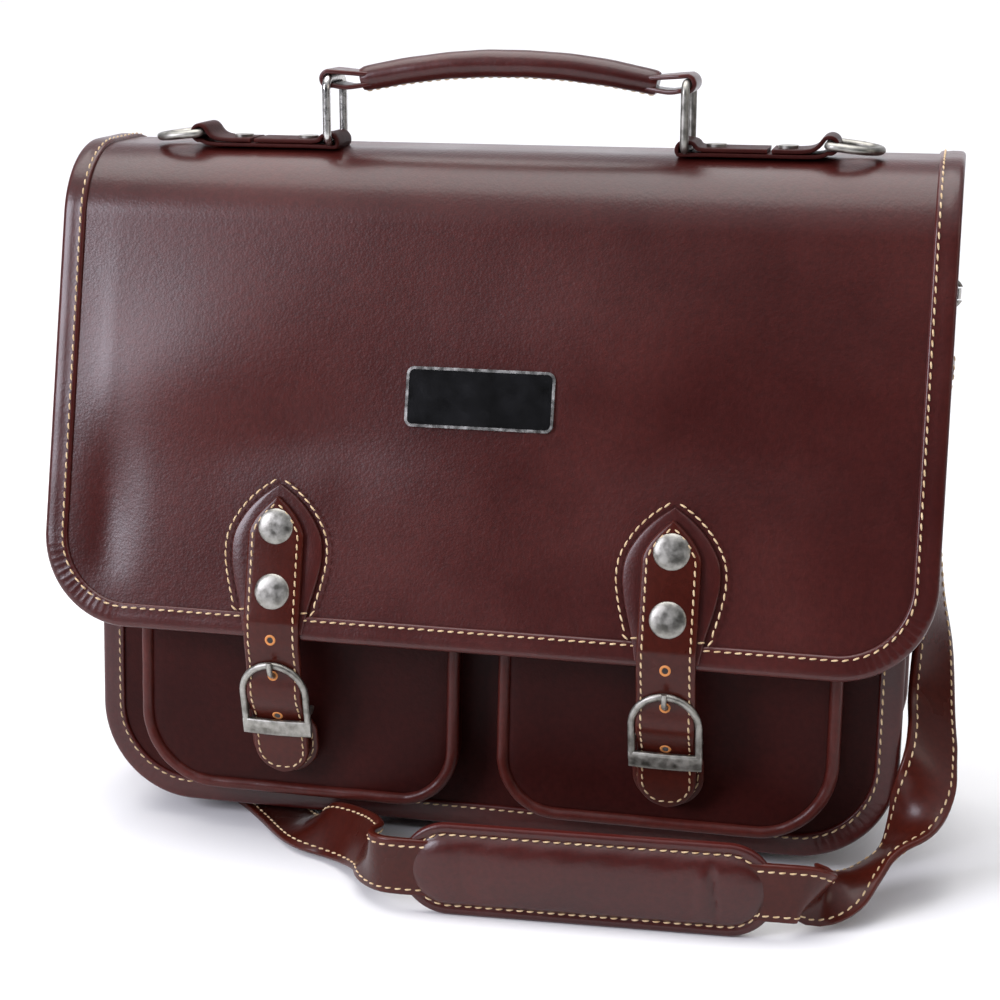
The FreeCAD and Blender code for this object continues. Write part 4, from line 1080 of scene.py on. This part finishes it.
def chape(side):
    """The strip on the crest: doubled leather, looped round both rings' bars."""
    foot = CREST_Z + 0.5 * MM
    path = beside(0, foot, (112, 2.4), (96, 2.4), (84, 2.6)) + beside(RING_X, RING_LOW, (3.4, 2.6))
    path += around(RING_X, RING_LOW, 3.5 * MM, 100, 215, 8)
    path = [(a, max(b, foot + 0.3 * MM)) for a, b in path]
    path += beside(RING_X, foot, (1, 0.2)) + beside(0, foot, (88, 0.4), (112, 0.4))
    path += beside(DEE.x, foot, (-6, 0.5)) + around(DEE.x, DEE.z, 3.3 * MM, -100, 140)
    path += beside(DEE.x, foot, (-5.5, 3.9), (-11, 2.5)) + beside(0, foot, (114, 2.4))
    ribbon = loop_ribbon([(SIDES[side] * a, b) for a, b in path], HANDLE_Y)
    l = np.linspace(0, ribbon.length, 170)
    band = strip(f"{side}_crest_strip", ribbon, l, CHAPE_HALF, -0.85 * MM, 0.85 * MM, DARK, 0.5 * MM)
    settle(band, "flap_top", [f"{side}_chape"], "dark_leather")


def dee_ring(side):
    line = dee_line(RING_HALF, 22.5 * MM - WIRE - RING_HALF)
    points = hanging(side, DEE.x, HANDLE_Y, DEE.z, line, math.radians(90 - 6.5))
    ring = wire(f"{side}_dee", points, 2.15 * MM, PEWTER, True, (0, 0, 1), 16, 0.85)
    settle(ring, f"{side}_dee_ring", [f"{side}_dee_ring"], "pewter")


# ---- Shoulder strap and pad ----

FLOOR_Z = cad_box[0].z
STRAP_WIDTH = 25.4 * MM
STRAP_BODY = 3.0 * MM
PAD_SLOPE = 0.0552
PAD_SEAM = 4.2 * MM

# The strap's stations, in mm above the floor: x, y, z, then the way one of its faces looks.
STRAP_END = [  # up from the bag's right side, round the hook's eye and down
    (189.4, 0, 172, 1, 0, 0), (190.4, 0, 206, 1, 0, 0), (191.3, 0, 215, 1, 0, 0),
    (190.9, 0, 218, 1, 0, 0.4), (189.6, 0, 219.5, 0.5, 0, 1), (187.9, 0, 219.9, 0, 0, 1),
    (186.2, 0, 219.5, -0.5, 0, 1), (184.9, 0, 218, -1, 0, 0.4), (184.5, 0, 215, -1, 0, 0),
    (186.2, 0, 204, -1, 0, 0), (186.6, 0, 186, -1, 0, 0),
]
STRAP_LEFT = [  # down the left side, flat under the front corner, then twisting up on edge
    (-189.4, 0, 137.5, 1, 0, 0), (-189.4, 0, 69.5, 1, 0, 0), (-188.5, 1, 39.5, 1, 0, 0),
    (-181, 4, 16.5, 0.8, 0, 0.6), (-165, 4, 4.6, 0.3, 0, 1), (-146, -5, 1.7, 0, 0, 1),
    (-127, -17, 1.7, 0, 0, 1), (-110, -30.5, 1.7, 0, 0, 1), (-96, -45, 1.7, 0, 0, 1),
    (-84, -59.6, 3.4, -0.05, -0.07, 0.99), (-73, -72, 8.9, -0.3, -0.4, 0.87),
    (-62, -79, 11.8, -0.45, -0.6, 0.64), (-50, -88, 14, -0.45, -0.68, 0.56),
    (-39, -102, 17.5, -0.35, -0.8, 0.45),
]
STRAP_RIGHT = [  # from the pad back round the front corner and up the right side
    (151.5, -101, 14.4, 0.25, -0.9, 0.3), (158.7, -93, 14.0, 0.1, -0.6, 0.75),
    (165.4, -84, 15.4, -0.35, -0.15, 0.9), (172.1, -75, 17.8, -0.58, 0.05, 0.78),
    (179.4, -68, 22.6, -0.68, 0, 0.66), (185.4, -62, 30.1, -0.62, -0.5, 0.58),
    (189.6, -58, 40.1, -0.2, -0.9, 0.35), (192.4, -52.5, 51, 0.25, -0.95, 0.1),
    (193.2, -41, 62, 0.48, -0.87, 0), (191.8, -29, 75.4, 0.63, -0.77, 0),
    (191, -19, 99.5, 0.8, -0.6, 0), (189.6, -10, 121.5, 0.96, -0.28, 0),
    (189.4, -3, 147.5, 1, 0, 0),
]


def make_shoulder_strap():
    """The strap: down the left side, on edge along the floor in front and up the right side."""
    start = [(-x, y, z, nx, ny, -nz) for x, y, z, nx, ny, nz in STRAP_END[::-1]]
    level = (20.3, PAD_SLOPE, -0.998, 0)
    middle = [(x, -119.25 + PAD_SLOPE * (x - 59), *level) for x in (-27, 10, 59, 108, 145)]
    table = smooth_line(start + STRAP_LEFT + middle + STRAP_RIGHT + STRAP_END, 10)
    ribbon = Ribbon(table[:, :3] * MM + (0, 0, FLOOR_Z), table[:, 3:])
    l = np.linspace(0, ribbon.length, int(ribbon.length / (3 * MM)))
    t = STRAP_BODY / 2
    band = strip("long_strap", ribbon, l, STRAP_WIDTH / 2, -t, t, STRAPPING, 0.9 * MM, 0.2 * MM)
    settle(band, "shoulder_strap", ["shoulder_strap"], "burgundy_leather")
    inset = STRAP_WIDTH / 2 - 2.9 * MM
    for face, side in (("outer", 1), ("inner", -1)):
        for edge, a in (("low", -inset), ("high", inset)):
            sew(f"long_strap_{face}_stitches_{edge}", ribbon, a, l, side * t, "shoulder_strap", side)


def pad_frame():
    """The pad as a surface from its middle, then half its length and half its height."""
    slide = next(j for j in frame["joints"] if j["name"] == "shoulder_pad_slide")
    along = Vector(slide["axis"]).normalized()
    out = Vector((along.y, -along.x, 0))
    low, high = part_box("shoulder_pad")
    middle = (low + high) / 2 - out * 2.9 * MM
    ways = np.array([tuple(along), (0, 0, 1), tuple(out)])

    def surface(u, v, depth):
        return np.array(middle) + np.stack(spread(u, v, depth), -1) @ ways

    return surface, (high.x - low.x) / 2 / along.x, (high.z - low.z) / 2


def pad_relief(u, v, edge, length, depth):
    """How far the pad's padded face stands out: sewn edge, channel, crown and creases."""
    hem = 2.1 * MM
    crown = 1 - np.exp(-np.maximum(edge - PAD_SEAM, 0) / (5.5 * MM))
    high = hem + (depth - hem) * crown
    high -= 0.7 * MM * hump(edge, PAD_SEAM, 1.3 * MM)
    high -= 0.9 * MM * np.exp(-edge / (0.7 * MM))
    inner = np.clip((edge - 6 * MM) / (8 * MM), 0, 1)
    fold = length - 25 * MM
    for place, bow, width, sink in ((fold, 0.12, 1.5, 1.5), (fold - 9 * MM, -0.1, 2.4, 0.45)):
        high -= sink * MM * hump(u - place + bow * v, 0, width * MM) * inner
    for place, width, sink in ((-fold + 6 * MM, 4.0, 0.45), (-fold + 1 * MM, 1.6, 0.35)):
        high -= sink * MM * hump(u - place - 6 * MM * (v / (20 * MM)) ** 2, 0, width * MM) * inner
    high += 0.5 * MM * hump(u, fold - 5 * MM, 4 * MM) * inner
    pucker = np.sin(u / (3.1 * MM) + 2 * np.sin(v / (4 * MM)))
    return high + 0.12 * MM * pucker * hump(edge, 7 * MM, 4 * MM)


def stadium(end, radius):
    """A closed outline with round ends: along and up."""
    turn = np.linspace(-math.pi / 2, math.pi / 2, 60)
    arc = np.stack([end + radius * np.cos(turn), radius * np.sin(turn)], 1)
    top = np.linspace(end, -end, 80)[1:-1]
    side = np.stack([top, np.full(len(top), radius)], 1)
    return np.concatenate([arc, side, -arc, -side, [[end, -radius]]])


def make_pad():
    surface, length, height = pad_frame()
    end = length - height
    turn = np.linspace(0, math.pi / 2, 26)
    ends = (-end - height * np.cos(turn), end + height * np.sin(turn))
    u = np.concatenate([ends[0], np.linspace(-end, end, 110)[1:-1], ends[1]])
    beyond = np.maximum(np.abs(u) - end, 0)[:, None]
    reach = np.sqrt(np.maximum(height**2 - beyond**2, (0.4 * MM) ** 2))
    even = np.linspace(-1, 1, 45)
    across = reach * (0.55 * np.sin(even * math.pi / 2) + 0.45 * even)
    along = np.repeat(u[:, None], len(even), 1)
    edge = np.maximum(height - np.hypot(beyond, across), 0)
    run = stadium(end, height - PAD_SEAM).T
    for name, side, depth in (("pad_front", 1, 6.3 * MM), ("pad_back", -1, 3.7 * MM)):
        high = pad_relief(along, across, edge, length, depth)
        outer = surface(along, across, side * high)
        piece = slab(name, outer, surface(along, across, side * 0.1 * MM), BURGUNDY)
        node = "shoulder_pad" if side > 0 else "shoulder_pad_back"
        settle(piece, "shoulder_pad", [node], "burgundy_leather")
        sew(f"{name}_stitches", surface, *run, side * 1.67 * MM, "shoulder_pad", side)


# ---- Pieces that keep their CAD shape, with softened edges ----

KEPT = (  # material, width of the softened edges in mm, nodes
    (NICKEL, 0.35, ["name_plate_frame"]),
    (BLACK, 0.25, ["name_plate_face"]),
    (PEWTER, 0.3, ["snap_sockets", "left_snap_stud", "right_snap_stud"]),
    (PEWTER, 0.4, ["side_rivets"]),
    (PEWTER, 0.35, ["chape_rivets"]),
    (PEWTER, 0.15, ["base_feet"]),
    (PEWTER, 0, ["left_hook", "right_hook"]),
    (NICKEL, 0.3, ["left_hook_gate", "right_hook_gate"]),
    (BOARD, 0.5, ["base_board"]),
    (BOARD, 0.4, ["top_stiffener"]),
)


def finish_nodes():
    for material, width, name in [(m, w, name) for m, w, names in KEPT for name in names]:
        obj = frame["nodes"][name]
        obj.data.materials.clear()
        obj.data.materials.append(material)
        for polygon in obj.data.polygons:
            polygon.material_index = 0
        if width:
            bevel = obj.modifiers.new("soft_edges", "BEVEL")
            bevel.width = width * MM
            bevel.segments = 3
            bevel.limit_method = "ANGLE"
            bevel.angle_limit = math.radians(35)


# ---- Stage ----

LIGHTS = (  # name, place, width, height, watts, colour
    ("key", (-1.45, -1.5, 1.0), 0.8, 0.9, 40, (0.88, 0.88, 1.0)),
    ("top", (-0.2, 0.1, 1.6), 1.4, 1.4, 22, (1.0, 0.98, 0.96)),
    ("side", (1.6, -0.4, 0.8), 0.6, 0.6, 2.5, (1.0, 0.92, 0.85)),
)


def place_looking(name, data, place, target):
    """A light or camera, looking at a point."""
    obj = bpy.data.objects.new(name, data)
    obj.location = place
    obj.rotation_euler = (Vector(target) - Vector(place)).to_track_quat("-Z", "Y").to_euler()
    bpy.context.scene.collection.objects.link(obj)
    return obj


def make_floor():
    """Pale paper that lies flat and curves up behind."""
    floor_z = cad_box[0].z - 0.3 * MM
    turn = np.linspace(0, math.pi / 2, 20)
    sweep = [(1.0 + 0.6 * math.sin(a), 0.6 - 0.6 * math.cos(a)) for a in turn]
    run = [(-1.6, 0.0), *sweep, (1.6, 2.6)]
    points = [(x, y, floor_z + z) for x in (-3.5, 3.5) for y, z in run]
    tree = new_tree("studio_paper")
    tone = tree.ramp(tree.noise(3, 3), 0.3, (0.84, 0.84, 0.84), 0.7, (0.88, 0.88, 0.88))
    paper = tree.surface(Base_Color=tone, Roughness=0.9)
    mesh_object("studio_floor", points, grid_faces(2, len(run)), paper)


def make_light():
    """Three soft lights under a sky that is bright overhead and dim at eye level."""
    world = bpy.data.worlds.new("studio")
    bpy.context.scene.world = world
    tree = Tree(world, "Generated")
    height = tree.add("SeparateXYZ", Vector=tree.coords).outputs["Z"]
    strength = tree.remap(height, 0.03, 1.25, 0.3, 0.9)
    tree.give(tree.nodes["Background"], Color=(0.93, 0.94, 1.0), Strength=strength)
    for name, place, width, height, watts, color in LIGHTS:
        light = bpy.data.lights.new(name, "AREA")
        light.shape = "RECTANGLE"
        light.size = width
        light.size_y = height
        light.energy = watts
        light.color = color
        place_looking(name, light, place, (0, 0, 0.15))


def make_camera():
    """The view: a little from the bag's right and above."""
    target = Vector((-4.4 * MM, 0, BASE_Z + 137.1 * MM))
    azimuth, elevation, distance = math.radians(12.96), math.radians(15.25), 0.9158
    level = math.cos(elevation)
    away = Vector((math.sin(azimuth) * level, -math.cos(azimuth) * level, math.sin(elevation)))
    data = bpy.data.cameras.new("camera")
    data.lens = 72.7
    data.sensor_width = 36
    bpy.context.scene.camera = place_looking("camera", data, target + away * distance, target)


make_flap()
make_body()
make_grip()
for one_side in SIDES:
    handle_loop(one_side)
for one_side in SIDES:
    pocket(one_side)
    side_hardware(one_side)
    side_ring(one_side)
    closure(one_side)
    handle_ring(one_side)
    chape(one_side)
    dee_ring(one_side)
make_shoulder_strap()
make_pad()
finish_nodes()
make_floor()
make_light()
make_camera()
bpy.context.scene.view_settings.view_transform = "Standard"
